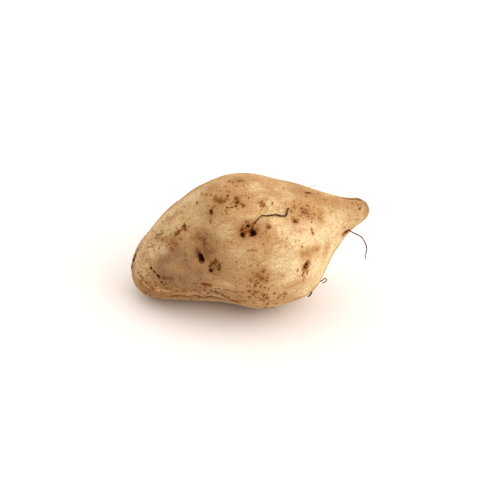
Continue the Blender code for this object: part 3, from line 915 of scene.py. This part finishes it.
    def build(self, node: bpy.types.Object, camera: PhotoCamera, marks: list[Mark]) -> bpy.types.Object:
        """Makes the skin.

        Args:
            node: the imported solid.
            camera: the photograph's camera.
            marks: the marks that the photograph shows.

        Returns:
            The finished skin.
        """
        self.lay(node)
        self.weather(self.placed(marks, camera) + self.wild(camera))
        inner = self.points[1:-1].reshape(-1, 3)
        poles = np.stack([self.points[0].mean(axis=0), self.points[-1].mean(axis=0)])
        mesh = bpy.data.meshes.new("root_skin")
        mesh.from_pydata(np.concatenate([inner, poles]).tolist(), [], self.faces())
        self.add_stains(mesh)
        self.add_course(mesh)
        mesh.shade_smooth()
        mesh.update()
        skin = bpy.data.objects.new("root_skin", mesh)
        bpy.context.scene.collection.objects.link(skin)
        return skin


@dataclass
class ShaderSheet:
    """Short ways to add and join the nodes of one material or of the surroundings."""

    owner: bpy.types.Material | bpy.types.World

    def node(self, kind: str, **settings: object) -> bpy.types.Node:
        """Adds a node.

        Args:
            kind: Blender's name for the kind of node.
            settings: the properties to set on it.

        Returns:
            The node.
        """
        made = self.owner.node_tree.nodes.new(kind)
        for name, value in settings.items():
            setattr(made, name, value)
        return made

    def join(self, source: Socket, target: Socket) -> None:
        """Links one socket to another."""
        self.owner.node_tree.links.new(source, target)

    def feed(self, socket: Socket, value: Socket | Colour | float) -> None:
        """Gives a socket its value.

        Args:
            socket: the socket that takes the value.
            value: another socket, three numbers or one number.
        """
        if isinstance(value, Socket):
            self.join(value, socket)
        elif isinstance(value, tuple) and len(socket.default_value) == 4:
            socket.default_value = (*value, 1.0)
        else:
            socket.default_value = value

    def place(self) -> Socket:
        """Where each point is in the object's own frame."""
        return self.node("ShaderNodeTexCoord").outputs["Object"]

    def stored(self, name: str) -> Socket:
        """A value stored on the mesh."""
        made = self.node("ShaderNodeAttribute", attribute_name=name, attribute_type="GEOMETRY")
        return made.outputs["Fac"]

    def noise(self, where: Socket, density: float, detail: float = 3.0, rough: float = 0.55) -> Socket:
        """A noise pattern, from 0 to 1.

        Args:
            where: the coordinates.
            density: how many features there are in a metre.
            detail: how many finer layers there are.
            rough: how strong each finer layer is beside the last.

        Returns:
            The pattern.
        """
        made = self.node("ShaderNodeTexNoise")
        made.inputs["Scale"].default_value = density
        made.inputs["Detail"].default_value = detail
        made.inputs["Roughness"].default_value = rough
        self.join(where, made.inputs["Vector"])
        return made.outputs["Fac"]

    def combine(self, operation: str, *values: Socket | float) -> Socket:
        """Values put together by one operation.

        Args:
            operation: Blender's name for the operation.
            values: the sockets and numbers that it takes.

        Returns:
            The result.
        """
        made = self.node("ShaderNodeMath", operation=operation)
        for socket, value in zip(made.inputs, values):
            self.feed(socket, value)
        return made.outputs[0]

    def plus(self, first: Socket | float, second: Socket | float) -> Socket:
        """The sum of two values."""
        return self.combine("ADD", first, second)

    def minus(self, first: Socket | float, second: Socket | float) -> Socket:
        """The first value less the second."""
        return self.combine("SUBTRACT", first, second)

    def times(self, first: Socket | float, second: Socket | float) -> Socket:
        """The product of two values."""
        return self.combine("MULTIPLY", first, second)

    def between(self, share: Socket, first: Socket, second: Socket) -> Socket:
        """Two values mixed by a share."""
        return self.plus(first, self.times(self.minus(second, first), share))

    def rise(self, value: Socket, low: float, high: float) -> Socket:
        """A smooth step.

        Args:
            value: what rises.
            low: where the step is still 0.
            high: where it reaches 1.

        Returns:
            The step.
        """
        made = self.node("ShaderNodeMapRange", interpolation_type="SMOOTHSTEP")
        made.inputs["From Min"].default_value = low
        made.inputs["From Max"].default_value = high
        self.join(value, made.inputs["Value"])
        return made.outputs["Result"]

    def mix(
        self, share: Socket | float, first: Socket | Colour, second: Socket | Colour, blend: str = "MIX"
    ) -> Socket:
        """Two colours mixed.

        Args:
            share: how much of the second colour shows.
            first: the colour below.
            second: the colour above.
            blend: Blender's name for the way of mixing.

        Returns:
            The mixed colour.
        """
        made = self.node("ShaderNodeMix", data_type="RGBA", blend_type=blend)
        for index, value in ((0, share), (6, first), (7, second)):
            self.feed(made.inputs[index], value)
        return made.outputs[2]

    def glaze(self, under: Socket, tint: Colour, share: Socket, strength: Socket | float) -> Socket:
        """A colour laid over another where its share is high."""
        return self.mix(self.times(share, strength), under, tint)

    def vectors(self, operation: str, first: Socket | Colour, second: Socket | Colour) -> bpy.types.Node:
        """Two vectors put together by one operation.

        Args:
            operation: Blender's name for the operation.
            first: the first vector.
            second: the second vector.

        Returns:
            The node that holds the result.
        """
        made = self.node("ShaderNodeVectorMath", operation=operation)
        self.feed(made.inputs[0], first)
        self.feed(made.inputs[1], second)
        return made


@dataclass(frozen=True)
class SkinPatterns:
    """The patterns that the skin's colours and relief share, as sockets of its material."""

    where: Socket
    broad: Socket
    mottle: Socket
    blotch: Socket
    grain: Socket
    grit: Socket
    fine: Socket
    lines: Socket
    stained: Socket


@dataclass(frozen=True)
class SkinFinish:
    """Dull, dry, pale tan skin with mottling, streaks, fine specks and the stored stains, which also hold
    painted light and shade.

    Densities are features in a metre, along the root and round it where there are two.
    """

    # the colour of paler skin and of the painted light
    ivory: Colour = (0.745, 0.588, 0.358)
    cream: Colour = (0.71, 0.500, 0.258)
    tan: Colour = (0.52, 0.300, 0.135)
    ochre: Colour = (0.37, 0.178, 0.070)
    # the colour of the painted shade and of darker skin
    shade_and_dark_skin: Colour = (0.255, 0.134, 0.070)
    amber: Colour = (0.46, 0.232, 0.080)
    rust: Colour = (0.30, 0.126, 0.042)
    russet: Colour = (0.155, 0.042, 0.005)
    soil: Colour = (0.110, 0.043, 0.014)
    pit: Colour = (0.026, 0.0040, 0.0006)
    # the colour of pinkish skin and of the painted rim sheen
    blush_and_sheen: Colour = (0.62, 0.320, 0.205)
    low_grain: Colour = (0.74, 0.69, 0.62)
    low_pale_grain: Colour = (0.90, 0.87, 0.83)
    high_grain: Colour = (1.15, 1.18, 1.22)
    broad_density: float = 60.0
    busy_density: float = 120.0
    mottle_density: float = 230.0
    blotch_density: float = 470.0
    grain_density: float = 850.0
    fine_density: float = 1700.0
    streak_density: tuple[float, float] = (130.0, 900.0)
    ring_density: tuple[float, float] = (760.0, 90.0)
    stray_density: float = 900.0
    stray: float = 0.0016
    large_pores: float = 300.0
    small_pores: float = 700.0
    roughness: float = 0.62
    specular: float = 0.03
    bump_mm: float = 0.20
    bump_strength: float = 0.8

    def build(self) -> bpy.types.Material:
        """Makes the material.

        Returns:
            The material.
        """
        material = bpy.data.materials.new("potato_skin")
        material.use_nodes = True
        sheet = ShaderSheet(material)
        shader = material.node_tree.nodes["Principled BSDF"]
        patterns = self.patterns(sheet)
        # paler skin together with the painted light and rim sheen
        pale = sheet.rise(self.edged(sheet, Stain.PALE_AND_PAINTED_LIGHT, patterns.mottle, 0.5, patterns.grit, 0.1), 0.10, 0.95)
        strayed = self.strayed(sheet, patterns.where)
        busy = sheet.noise(patterns.where, self.busy_density, 3.0, 0.6)
        busy = sheet.plus(busy, sheet.times(patterns.stained, 0.12))
        busy = sheet.minus(busy, sheet.times(pale, 0.12))
        large = self.pores(sheet, strayed, self.large_pores, sheet.rise(busy, 0.50, 0.90), 0.17)
        small = self.pores(sheet, strayed, self.small_pores, sheet.rise(busy, 0.44, 0.78), 0.24)
        pit = self.edged(sheet, Stain.PIT, patterns.grit, 0.20, patterns.fine, 0.12)
        dark = sheet.rise(pit, 0.30, 0.74)

        colour = self.stained(sheet, patterns, self.bare(sheet, patterns, pale))
        colour = sheet.glaze(colour, self.russet, large, 0.62)
        colour = sheet.glaze(colour, self.rust, small, 0.52)
        colour = sheet.glaze(colour, self.russet, sheet.rise(pit, 0.08, 0.46), 0.70)
        colour = sheet.mix(dark, colour, self.pit)
        sheet.join(self.grained(sheet, patterns, pale, colour), shader.inputs["Base Color"])

        rough = sheet.plus(sheet.times(patterns.grain, 0.22), self.roughness - 0.11)
        sheet.join(sheet.plus(rough, sheet.times(dark, 0.2)), shader.inputs["Roughness"])
        shader.inputs["Specular IOR Level"].default_value = self.specular
        sheet.join(self.relief(sheet, patterns, large), shader.inputs["Normal"])
        return material

    def patterns(self, sheet: ShaderSheet) -> SkinPatterns:
        """The patterns that the colours and the relief share.

        Args:
            sheet: the material's sheet.

        Returns:
            The patterns.
        """
        where = sheet.place()
        grain = sheet.noise(where, self.grain_density, 4.0, 0.7)
        lengthwise = sheet.noise(self.course(sheet, self.streak_density), 1.0, 4.0, 0.6)
        ringwise = sheet.noise(self.course(sheet, self.ring_density), 1.0, 3.0, 0.6)
        return SkinPatterns(
            where=where,
            broad=sheet.noise(where, self.broad_density, 2.0),
            mottle=sheet.noise(where, self.mottle_density, 4.0, 0.6),
            blotch=sheet.rise(sheet.noise(where, self.blotch_density, 3.0, 0.6), 0.50, 0.66),
            grain=grain,
            grit=sheet.rise(grain, 0.36, 0.64),
            fine=sheet.noise(where, self.fine_density, 2.0, 0.6),
            lines=sheet.between(sheet.stored("ends"), lengthwise, ringwise),
            # amber stains together with the painted shade and darker skin
            stained=sheet.plus(sheet.stored(Stain.AMBER.value), sheet.stored(Stain.SHADE_AND_DARK_SKIN.value)),
        )

    def bare(self, sheet: ShaderSheet, patterns: SkinPatterns, pale: Socket) -> Socket:
        """The bare skin's colour: tan and cream, paler, darker where shade is painted, and streaked in
        places.

        Args:
            sheet: the material's sheet.
            patterns: the skin's patterns.
            pale: how pale each place is, from paler skin and painted light.

        Returns:
            The colour.
        """
        tone = sheet.plus(sheet.times(patterns.broad, 0.5), sheet.times(patterns.mottle, 0.5))
        tone = sheet.plus(tone, sheet.times(sheet.stored(Stain.PALE_AND_PAINTED_LIGHT.value), 0.22))
        # painted shade, with darker skin, lowers the tone
        tone = sheet.minus(tone, sheet.times(sheet.stored(Stain.SHADE_AND_DARK_SKIN.value), 0.20))
        colour = sheet.mix(sheet.rise(tone, 0.40, 0.66), self.tan, self.cream)
        colour = sheet.glaze(colour, self.ivory, pale, 0.55)
        colour = sheet.glaze(colour, self.ochre, sheet.rise(patterns.mottle, 0.52, 0.74), 0.40)
        patchy = sheet.plus(0.16, sheet.times(patterns.stained, 0.22))
        colour = sheet.glaze(colour, self.ochre, patterns.blotch, patchy)
        # painted shade, with darker skin, glazed over in dark brown
        shade_and_dark_skin = self.edged(sheet, Stain.SHADE_AND_DARK_SKIN, patterns.mottle, 0.5, patterns.grit, 0.15)
        colour = sheet.glaze(colour, self.shade_and_dark_skin, sheet.rise(shade_and_dark_skin, 0.12, 1.0), 0.66)
        streaky = sheet.plus(0.40, sheet.times(sheet.stored("ends"), 0.15))
        return sheet.glaze(colour, self.ochre, sheet.rise(patterns.lines, 0.50, 0.66), streaky)

    def stained(self, sheet: ShaderSheet, patterns: SkinPatterns, colour: Socket) -> Socket:
        """The stored stains laid over the bare skin.

        Args:
            sheet: the material's sheet.
            patterns: the skin's patterns.
            colour: the bare skin's colour.

        Returns:
            The stained colour.
        """
        mottle, grit = patterns.mottle, patterns.grit
        amber = self.edged(sheet, Stain.AMBER, mottle, 0.6, grit, 0.18)
        colour = sheet.glaze(colour, self.amber, sheet.rise(amber, 0.16, 0.90), 0.74)
        # pinkish skin and painted rim sheen
        blush_and_sheen = self.edged(sheet, Stain.BLUSH_AND_SHEEN, mottle, 0.3, grit, 0.1)
        colour = sheet.glaze(colour, self.blush_and_sheen, sheet.rise(blush_and_sheen, 0.2, 0.8), 0.55)
        halo = self.edged(sheet, Stain.RUSSET, mottle, 0.4, grit, 0.1)
        colour = sheet.glaze(colour, self.amber, sheet.rise(halo, 0.04, 0.50), 0.60)
        soil = self.edged(sheet, Stain.SOIL, grit, 0.22, mottle, 0.4)
        colour = sheet.glaze(colour, self.rust, sheet.rise(soil, 0.20, 0.60), 0.55)
        colour = sheet.glaze(colour, self.soil, sheet.rise(soil, 0.36, 0.86), 0.80)
        russet = self.edged(sheet, Stain.RUSSET, grit, 0.34, mottle, 0.4)
        colour = sheet.glaze(colour, self.rust, sheet.rise(russet, 0.24, 0.54), 0.84)
        return sheet.glaze(colour, self.russet, sheet.rise(russet, 0.52, 0.92), 0.84)

    def grained(self, sheet: ShaderSheet, patterns: SkinPatterns, pale: Socket, colour: Socket) -> Socket:
        """The colour made lighter and darker by the grain, and less so where the skin is pale, painted light
        included.

        Args:
            sheet: the material's sheet.
            patterns: the skin's patterns.
            pale: how pale each place is, from paler skin and painted light.
            colour: the stained colour.

        Returns:
            The grained colour.
        """
        uneven = sheet.plus(sheet.times(patterns.grain, 0.6), sheet.times(patterns.fine, 0.4))
        low = sheet.mix(pale, self.low_grain, self.low_pale_grain)
        shade = sheet.mix(sheet.rise(uneven, 0.34, 0.66), low, self.high_grain)
        return sheet.mix(1.0, colour, shade, "MULTIPLY")

    def relief(self, sheet: ShaderSheet, patterns: SkinPatterns, large: Socket) -> Socket:
        """The fine relief: raised grain, sunk lines and sunk pores.

        Args:
            sheet: the material's sheet.
            patterns: the skin's patterns.
            large: the large pores.

        Returns:
            The surface's direction.
        """
        height = sheet.plus(sheet.times(patterns.grain, 0.6), sheet.times(patterns.fine, 0.25))
        height = sheet.minus(height, sheet.times(patterns.lines, 0.7))
        height = sheet.minus(height, sheet.times(large, 0.4))
        bump = sheet.node("ShaderNodeBump")
        bump.inputs["Distance"].default_value = self.bump_mm / 1000
        bump.inputs["Strength"].default_value = self.bump_strength
        sheet.join(height, bump.inputs["Height"])
        return bump.outputs["Normal"]

    def strayed(self, sheet: ShaderSheet, where: Socket) -> Socket:
        """Coordinates pushed about a little, so that what is drawn with them has uneven edges.

        Args:
            sheet: the material's sheet.
            where: the coordinates.

        Returns:
            The pushed coordinates.
        """
        push = sheet.node("ShaderNodeTexNoise")
        push.inputs["Scale"].default_value = self.stray_density
        push.inputs["Detail"].default_value = 1.0
        sheet.join(where, push.inputs["Vector"])
        scaled = sheet.vectors("MULTIPLY", push.outputs["Color"], (self.stray,) * 3)
        return sheet.vectors("ADD", where, scaled.outputs[0]).outputs[0]

    def course(self, sheet: ShaderSheet, density: tuple[float, float]) -> Socket:
        """Coordinates that follow the root.

        Args:
            sheet: the material's sheet.
            density: how many features there are in a metre along the root and round it.

        Returns:
            The coordinates.
        """
        along, around = density
        stored = sheet.node("ShaderNodeAttribute", attribute_name="course", attribute_type="GEOMETRY")
        return sheet.vectors("MULTIPLY", stored.outputs["Vector"], (along, around, around)).outputs[0]

    def edged(
        self,
        sheet: ShaderSheet,
        stain: Stain,
        first: Socket,
        first_share: float,
        second: Socket,
        second_share: float,
    ) -> Socket:
        """A stored stain with its edge broken up by two patterns, and nothing where none is stored.

        Args:
            sheet: the material's sheet.
            stain: the stored stain.
            first: the pattern that breaks the edge most.
            first_share: how much the first pattern adds or takes.
            second: the other pattern.
            second_share: how much the second pattern adds or takes.

        Returns:
            The broken stain, of about 0 to 1.3.
        """
        stored = sheet.stored(stain.value)
        near = sheet.rise(stored, 0.0, 0.35)
        first_push = sheet.times(sheet.minus(first, 0.5), first_share * 2)
        second_push = sheet.times(sheet.minus(second, 0.5), second_share * 2)
        return sheet.plus(stored, sheet.times(sheet.plus(first_push, second_push), near))

    def pores(self, sheet: ShaderSheet, where: Socket, density: float, busy: Socket, size: float) -> Socket:
        """The skin's pores: small specks, thicker in some places than in others.

        Args:
            sheet: the material's sheet.
            where: the coordinates.
            density: how many cells there are in a metre.
            busy: the share of the cells that hold a pore.
            size: the size of the largest pore, as a share of its cell.

        Returns:
            1 inside a pore and 0 outside.
        """
        cells = sheet.node("ShaderNodeTexVoronoi")
        cells.inputs["Scale"].default_value = density
        sheet.join(where, cells.inputs["Vector"])
        split = sheet.node("ShaderNodeSeparateColor")
        sheet.join(cells.outputs["Color"], split.inputs[0])
        held = sheet.combine("LESS_THAN", split.outputs[0], busy)
        reach = sheet.times(sheet.plus(split.outputs[1], 0.35), size)
        reach = sheet.times(reach, held)
        return sheet.rise(sheet.minus(reach, cells.outputs["Distance"]), -0.02, 0.06)


@dataclass(frozen=True)
class RootletFinish:
    """Dry bark on the rootlets. Densities are features in a metre."""

    name: str = "dry_rootlet"
    dark: Colour = (0.048, 0.020, 0.007)
    light: Colour = (0.145, 0.067, 0.024)
    patch_density: float = 700.0
    fibre_density: float = 2600.0
    roughness: float = 0.75
    specular: float = 0.03
    bump_mm: float = 0.08

    def build(self) -> bpy.types.Material:
        """Makes the material.

        Returns:
            The material.
        """
        material = bpy.data.materials.new(self.name)
        material.use_nodes = True
        sheet = ShaderSheet(material)
        shader = material.node_tree.nodes["Principled BSDF"]
        where = sheet.place()
        patches = sheet.noise(where, self.patch_density, 3.0)
        fibres = sheet.noise(where, self.fibre_density, 3.0, 0.65)
        colour = sheet.mix(sheet.rise(patches, 0.42, 0.70), self.dark, self.light)
        sheet.join(sheet.glaze(colour, self.dark, fibres, 0.5), shader.inputs["Base Color"])
        sheet.join(sheet.plus(sheet.times(fibres, 0.3), self.roughness - 0.15), shader.inputs["Roughness"])
        shader.inputs["Specular IOR Level"].default_value = self.specular
        bump = sheet.node("ShaderNodeBump")
        bump.inputs["Distance"].default_value = self.bump_mm / 1000
        sheet.join(fibres, bump.inputs["Height"])
        sheet.join(bump.outputs["Normal"], shader.inputs["Normal"])
        return material


class Hold(Enum):
    """How a rootlet's places in the photograph are carried into space."""

    ON_SKIN = 1
    FREE = 2


@dataclass(frozen=True)
class Rootlet:
    """One dry rootlet: where the photograph shows it, how it is held and how thick it is.

    A rootlet that lies on the skin keeps its own height over it at each place. A free one is rooted in the
    skin by its first places and hangs from there in a plane that faces the camera.
    """

    name: str
    route: Route
    hold: Hold
    thickness_mm: float
    tip_mm: float
    heights_mm: tuple[float, ...]
    sides: int = 10
    points_per_span: int = 5
    rooted_places: int = 2
    hanging_plane: tuple[float, float, float] = (0.0, -0.966, 0.258)
    tube_side: tuple[float, float, float] = (0.3, 0.2, 0.93)
    knob_spacing: float = 0.0011
    knob_share: float = 0.16
    blunt: float = 0.45

    def stops(self, skin: Skin, camera: PhotoCamera) -> np.ndarray:
        """The places in space that the rootlet passes through.

        Args:
            skin: the finished skin that it grows from.
            camera: the photograph's camera.

        Returns:
            One row of three for each place.
        """
        shown = skin.seen(camera).ravel()
        flat = skin.points.reshape(-1, 3)[shown]
        outward = skin.normals.reshape(-1, 3)[shown]
        pixels = camera.pixels(flat)
        plane = unit(np.array(self.hanging_plane))
        out = []
        for index, (place, height) in enumerate(zip(self.route, self.heights_mm)):
            if self.hold is Hold.ON_SKIN or index < self.rooted_places:
                nearest = np.argmin(((pixels - place) ** 2).sum(axis=1))
                out.append(flat[nearest] + outward[nearest] * height / 1000)
                continue
            ray = camera.ray(*place)
            root = out[self.rooted_places - 1]
            far = ((root - camera.place()) @ plane) / (ray @ plane)
            out.append(camera.place() + ray * far)
        return np.array(out)

    def line(self, stops: np.ndarray) -> np.ndarray:
        """A smooth line through the stops.

        Args:
            stops: the places that it passes through.

        Returns:
            The line's points.
        """
        padded = np.concatenate([stops[:1], stops, stops[-1:]])
        out = []
        for index in range(len(stops) - 1):
            before, start, end, after = padded[index : index + 4]
            slope = end - before
            bend = 2 * before - 5 * start + 4 * end - after
            twist = 3 * start - before - 3 * end + after
            for share in np.linspace(0, 1, self.points_per_span, endpoint=False):
                out.append(0.5 * (2 * start + slope * share + bend * share**2 + twist * share**3))
        out.append(stops[-1])
        return np.array(out)

    def radii(self, line: np.ndarray) -> np.ndarray:
        """How thick the rootlet is along its line.

        Args:
            line: the line's points.

        Returns:
            Half the thickness at each point, in metres.
        """
        share = np.linspace(0, 1, len(line))
        radius = (self.thickness_mm + (self.tip_mm - self.thickness_mm) * share) / 2000
        knobs = LatticeNoise(len(self.name)).at(line, self.knob_spacing)
        radius = radius * (1 + self.knob_share * knobs)
        radius[-1] *= self.blunt
        return radius

    def faces(self, count: int) -> list[tuple[int, ...]]:
        """The tube's faces: a band between each pair of rings and a fan at each end.

        Args:
            count: how many rings there are.

        Returns:
            Each face's points.
        """
        sides = self.sides
        out: list[tuple[int, ...]] = []
        for row in range(count - 1):
            for column in range(sides):
                near, following = row * sides + column, row * sides + (column + 1) % sides
                out.append((near, following, following + sides, near + sides))
        root_end, tip_end, last = count * sides, count * sides + 1, (count - 1) * sides
        for column in range(sides):
            following = (column + 1) % sides
            out.append((root_end, following, column))
            out.append((tip_end, last + column, last + following))
        return out

    def build(self, skin: Skin, camera: PhotoCamera) -> bpy.types.Object:
        """Makes the rootlet as a knobbly tapering tube.

        Args:
            skin: the finished skin that it grows from.
            camera: the photograph's camera.

        Returns:
            The rootlet.
        """
        line = self.line(self.stops(skin, camera))
        ahead = unit(np.gradient(line, axis=0))
        side = unit(np.cross(ahead, np.array(self.tube_side)))
        across = np.cross(ahead, side)
        turns = np.linspace(0, 2 * math.pi, self.sides, endpoint=False)
        ring = np.cos(turns)[None, :, None] * side[:, None] + np.sin(turns)[None, :, None] * across[:, None]
        points = line[:, None] + ring * self.radii(line)[:, None, None]
        ends = np.stack([line[0], line[-1]])
        mesh = bpy.data.meshes.new(self.name)
        mesh.from_pydata(np.concatenate([points.reshape(-1, 3), ends]).tolist(), [], self.faces(len(line)))
        mesh.shade_smooth()
        made = bpy.data.objects.new(self.name, mesh)
        bpy.context.scene.collection.objects.link(made)
        return made


OVER_SKIN_ROUTE = (
    (252.6, 230.5), (254.6, 224.0), (256.6, 220.6), (259.0, 218.2), (262.0, 216.5), (267.0, 216.0),
    (272.0, 215.4), (276.0, 215.2), (281.0, 216.0), (284.6, 216.4), (286.6, 215.0), (287.2, 212.0),
    (287.8, 209.2),
)
FREE_ROUTE = (
    (344.0, 234.0), (345.4, 232.8), (347.0, 231.2), (348.6, 230.2), (351.6, 231.8), (356.0, 234.0),
    (360.0, 236.0), (362.2, 237.8), (364.2, 241.0), (366.0, 245.0), (366.8, 249.0), (366.2, 252.4),
    (365.2, 255.4), (366.0, 258.8),
)
LOOP_ROUTE = (
    (319.6, 282.8), (321.4, 282.0), (322.6, 280.2), (324.6, 278.4), (326.6, 279.6), (325.6, 281.6),
    (322.2, 283.2),
)
STUB_ROUTE = ((313.0, 291.6), (312.2, 293.2), (310.2, 295.0), (307.6, 296.6))
HAIR_ROUTE = ((307.0, 189.4), (309.4, 187.4), (313.0, 186.0), (317.0, 184.6))
OVER_SKIN_HEIGHTS = (-0.8, 0.0, 0.5, 0.6, 0.6, 0.6, 0.5, 0.5, 0.5, 0.6, 0.7, 0.9, 1.3)

ROOTLETS = (
    Rootlet("rootlet_over_skin", OVER_SKIN_ROUTE, Hold.ON_SKIN, 0.46, 0.98, OVER_SKIN_HEIGHTS),
    Rootlet("rootlet_free", FREE_ROUTE, Hold.FREE, 0.74, 0.62, (-0.8, 0.1) + (0.0,) * 12),
    Rootlet("rootlet_loop", LOOP_ROUTE, Hold.FREE, 0.62, 0.54, (-0.6, 0.1) + (0.0,) * 5),
    Rootlet("rootlet_stub", STUB_ROUTE, Hold.FREE, 0.90, 0.70, (-0.6, 0.3) + (0.0,) * 2),
)
HAIR = Rootlet("hair_on_top", HAIR_ROUTE, Hold.FREE, 0.36, 0.20, (-0.4, 0.1) + (0.0,) * 2)


@dataclass(frozen=True)
class FloorFinish:
    """A clean, matt, slightly warm white floor."""

    colour: Colour = (0.917, 0.868, 0.838)
    patch_density: float = 30.0
    patch_share: float = 0.99
    roughness: float = 0.9
    specular: float = 0.1

    def build(self) -> bpy.types.Material:
        """Makes the material.

        Returns:
            The material.
        """
        material = bpy.data.materials.new("pale_floor")
        material.use_nodes = True
        sheet = ShaderSheet(material)
        shader = material.node_tree.nodes["Principled BSDF"]
        patches = sheet.noise(sheet.place(), self.patch_density, 2.0)
        darker = tuple(value * self.patch_share for value in self.colour)
        sheet.join(sheet.mix(patches, self.colour, darker), shader.inputs["Base Color"])
        shader.inputs["Roughness"].default_value = self.roughness
        shader.inputs["Specular IOR Level"].default_value = self.specular
        return material


@dataclass(frozen=True)
class Lobe:
    """Soft light from one part of the surroundings: its direction, strength, gathering and tint."""

    azimuth: float
    elevation: float
    strength: float
    power: float
    tint: Colour = (1.0, 1.0, 1.0)

    def direction(self) -> tuple[float, float, float]:
        """The direction that the light comes from, with azimuth 0 at the front and 90 on the right."""
        turn, rise = math.radians(self.azimuth), math.radians(self.elevation)
        return math.sin(turn) * math.cos(rise), -math.cos(turn) * math.cos(rise), math.sin(rise)

    def light(self, sheet: ShaderSheet, where: Socket) -> Socket:
        """The lobe's light.

        Args:
            sheet: the surroundings' sheet.
            where: the direction that is looked in.

        Returns:
            The light from that direction.
        """
        facing = sheet.vectors("DOT_PRODUCT", where, self.direction()).outputs["Value"]
        share = sheet.combine("POWER", sheet.combine("MULTIPLY_ADD", facing, 0.5, 0.5), self.power)
        tinted = sheet.node("ShaderNodeVectorMath", operation="SCALE")
        sheet.feed(tinted.inputs["Vector"], self.tint)
        sheet.join(sheet.times(share, self.strength), tinted.inputs["Scale"])
        return tinted.outputs["Vector"]


@dataclass(frozen=True)
class Studio:
    """The floor and the soft light, which comes mostly from the right and from above."""

    floor_half: float = 3.0
    right: Lobe = Lobe(67.0, 28.0, 3.72, 9.0)
    top: Lobe = Lobe(0.0, 88.0, 1.5, 12.0, (1.0, 0.95, 0.90))
    left: Lobe = Lobe(246.0, 30.0, 1.20, 9.0, (1.0, 0.965, 0.925))
    back: Lobe = Lobe(180.0, 50.0, 0.8, 12.0, (1.0, 0.95, 0.90))

    def build(self) -> list[bpy.types.Object]:
        """Makes the floor and the surrounding light.

        Returns:
            The pieces of the stage.
        """
        half = self.floor_half
        corners = [(-half, -half, 0), (half, -half, 0), (half, half, 0), (-half, half, 0)]
        mesh = bpy.data.meshes.new("floor")
        mesh.from_pydata(corners, [], [(0, 1, 2, 3)])
        mesh.materials.append(FloorFinish().build())
        floor = bpy.data.objects.new("floor", mesh)
        bpy.context.scene.collection.objects.link(floor)
        self.surround()
        return [floor]

    def surround(self) -> None:
        """Light from the soft lobes, added together."""
        world = bpy.data.worlds.new("studio")
        world.use_nodes = True
        bpy.context.scene.world = world
        sheet = ShaderSheet(world)
        where = sheet.node("ShaderNodeTexCoord").outputs["Generated"]
        total = self.right.light(sheet, where)
        for lobe in (self.top, self.left, self.back):
            total = sheet.vectors("ADD", total, lobe.light(sheet, where)).outputs["Vector"]
        sheet.join(total, world.node_tree.nodes["Background"].inputs["Color"])


def main() -> None:
    """Builds the root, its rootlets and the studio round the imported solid."""
    logging.basicConfig(level=logging.INFO, format="%(name)s: %(message)s")
    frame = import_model()
    bpy.context.scene.view_settings.view_transform = "Standard"

    camera = PhotoCamera()
    camera.build()
    rng = np.random.default_rng(CLUSTER_SEED)
    marks = [*PLACED_MARKS, *(mark for cluster in CLUSTERS for mark in cluster.marks(rng))]
    form = Skin()
    skin = form.build(frame["nodes"][NODE], camera, marks)
    skin.data.materials.append(SkinFinish().build())
    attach(skin, "root")
    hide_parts(NODE)
    LOG.info("%s: %d faces, %d marks", skin.name, len(skin.data.polygons), len(marks))

    bark = RootletFinish().build()
    straw = RootletFinish("pale_hair", (0.14, 0.09, 0.055), (0.34, 0.24, 0.15)).build()
    for rootlet in (*ROOTLETS, HAIR):
        piece = rootlet.build(form, camera)
        piece.data.materials.append(straw if rootlet is HAIR else bark)
        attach(piece, "root")
        LOG.info("%s: %d faces", piece.name, len(piece.data.polygons))

    for piece in Studio().build():
        LOG.info("%s: stage", piece.name)


if __name__ == "__main__":
    main()
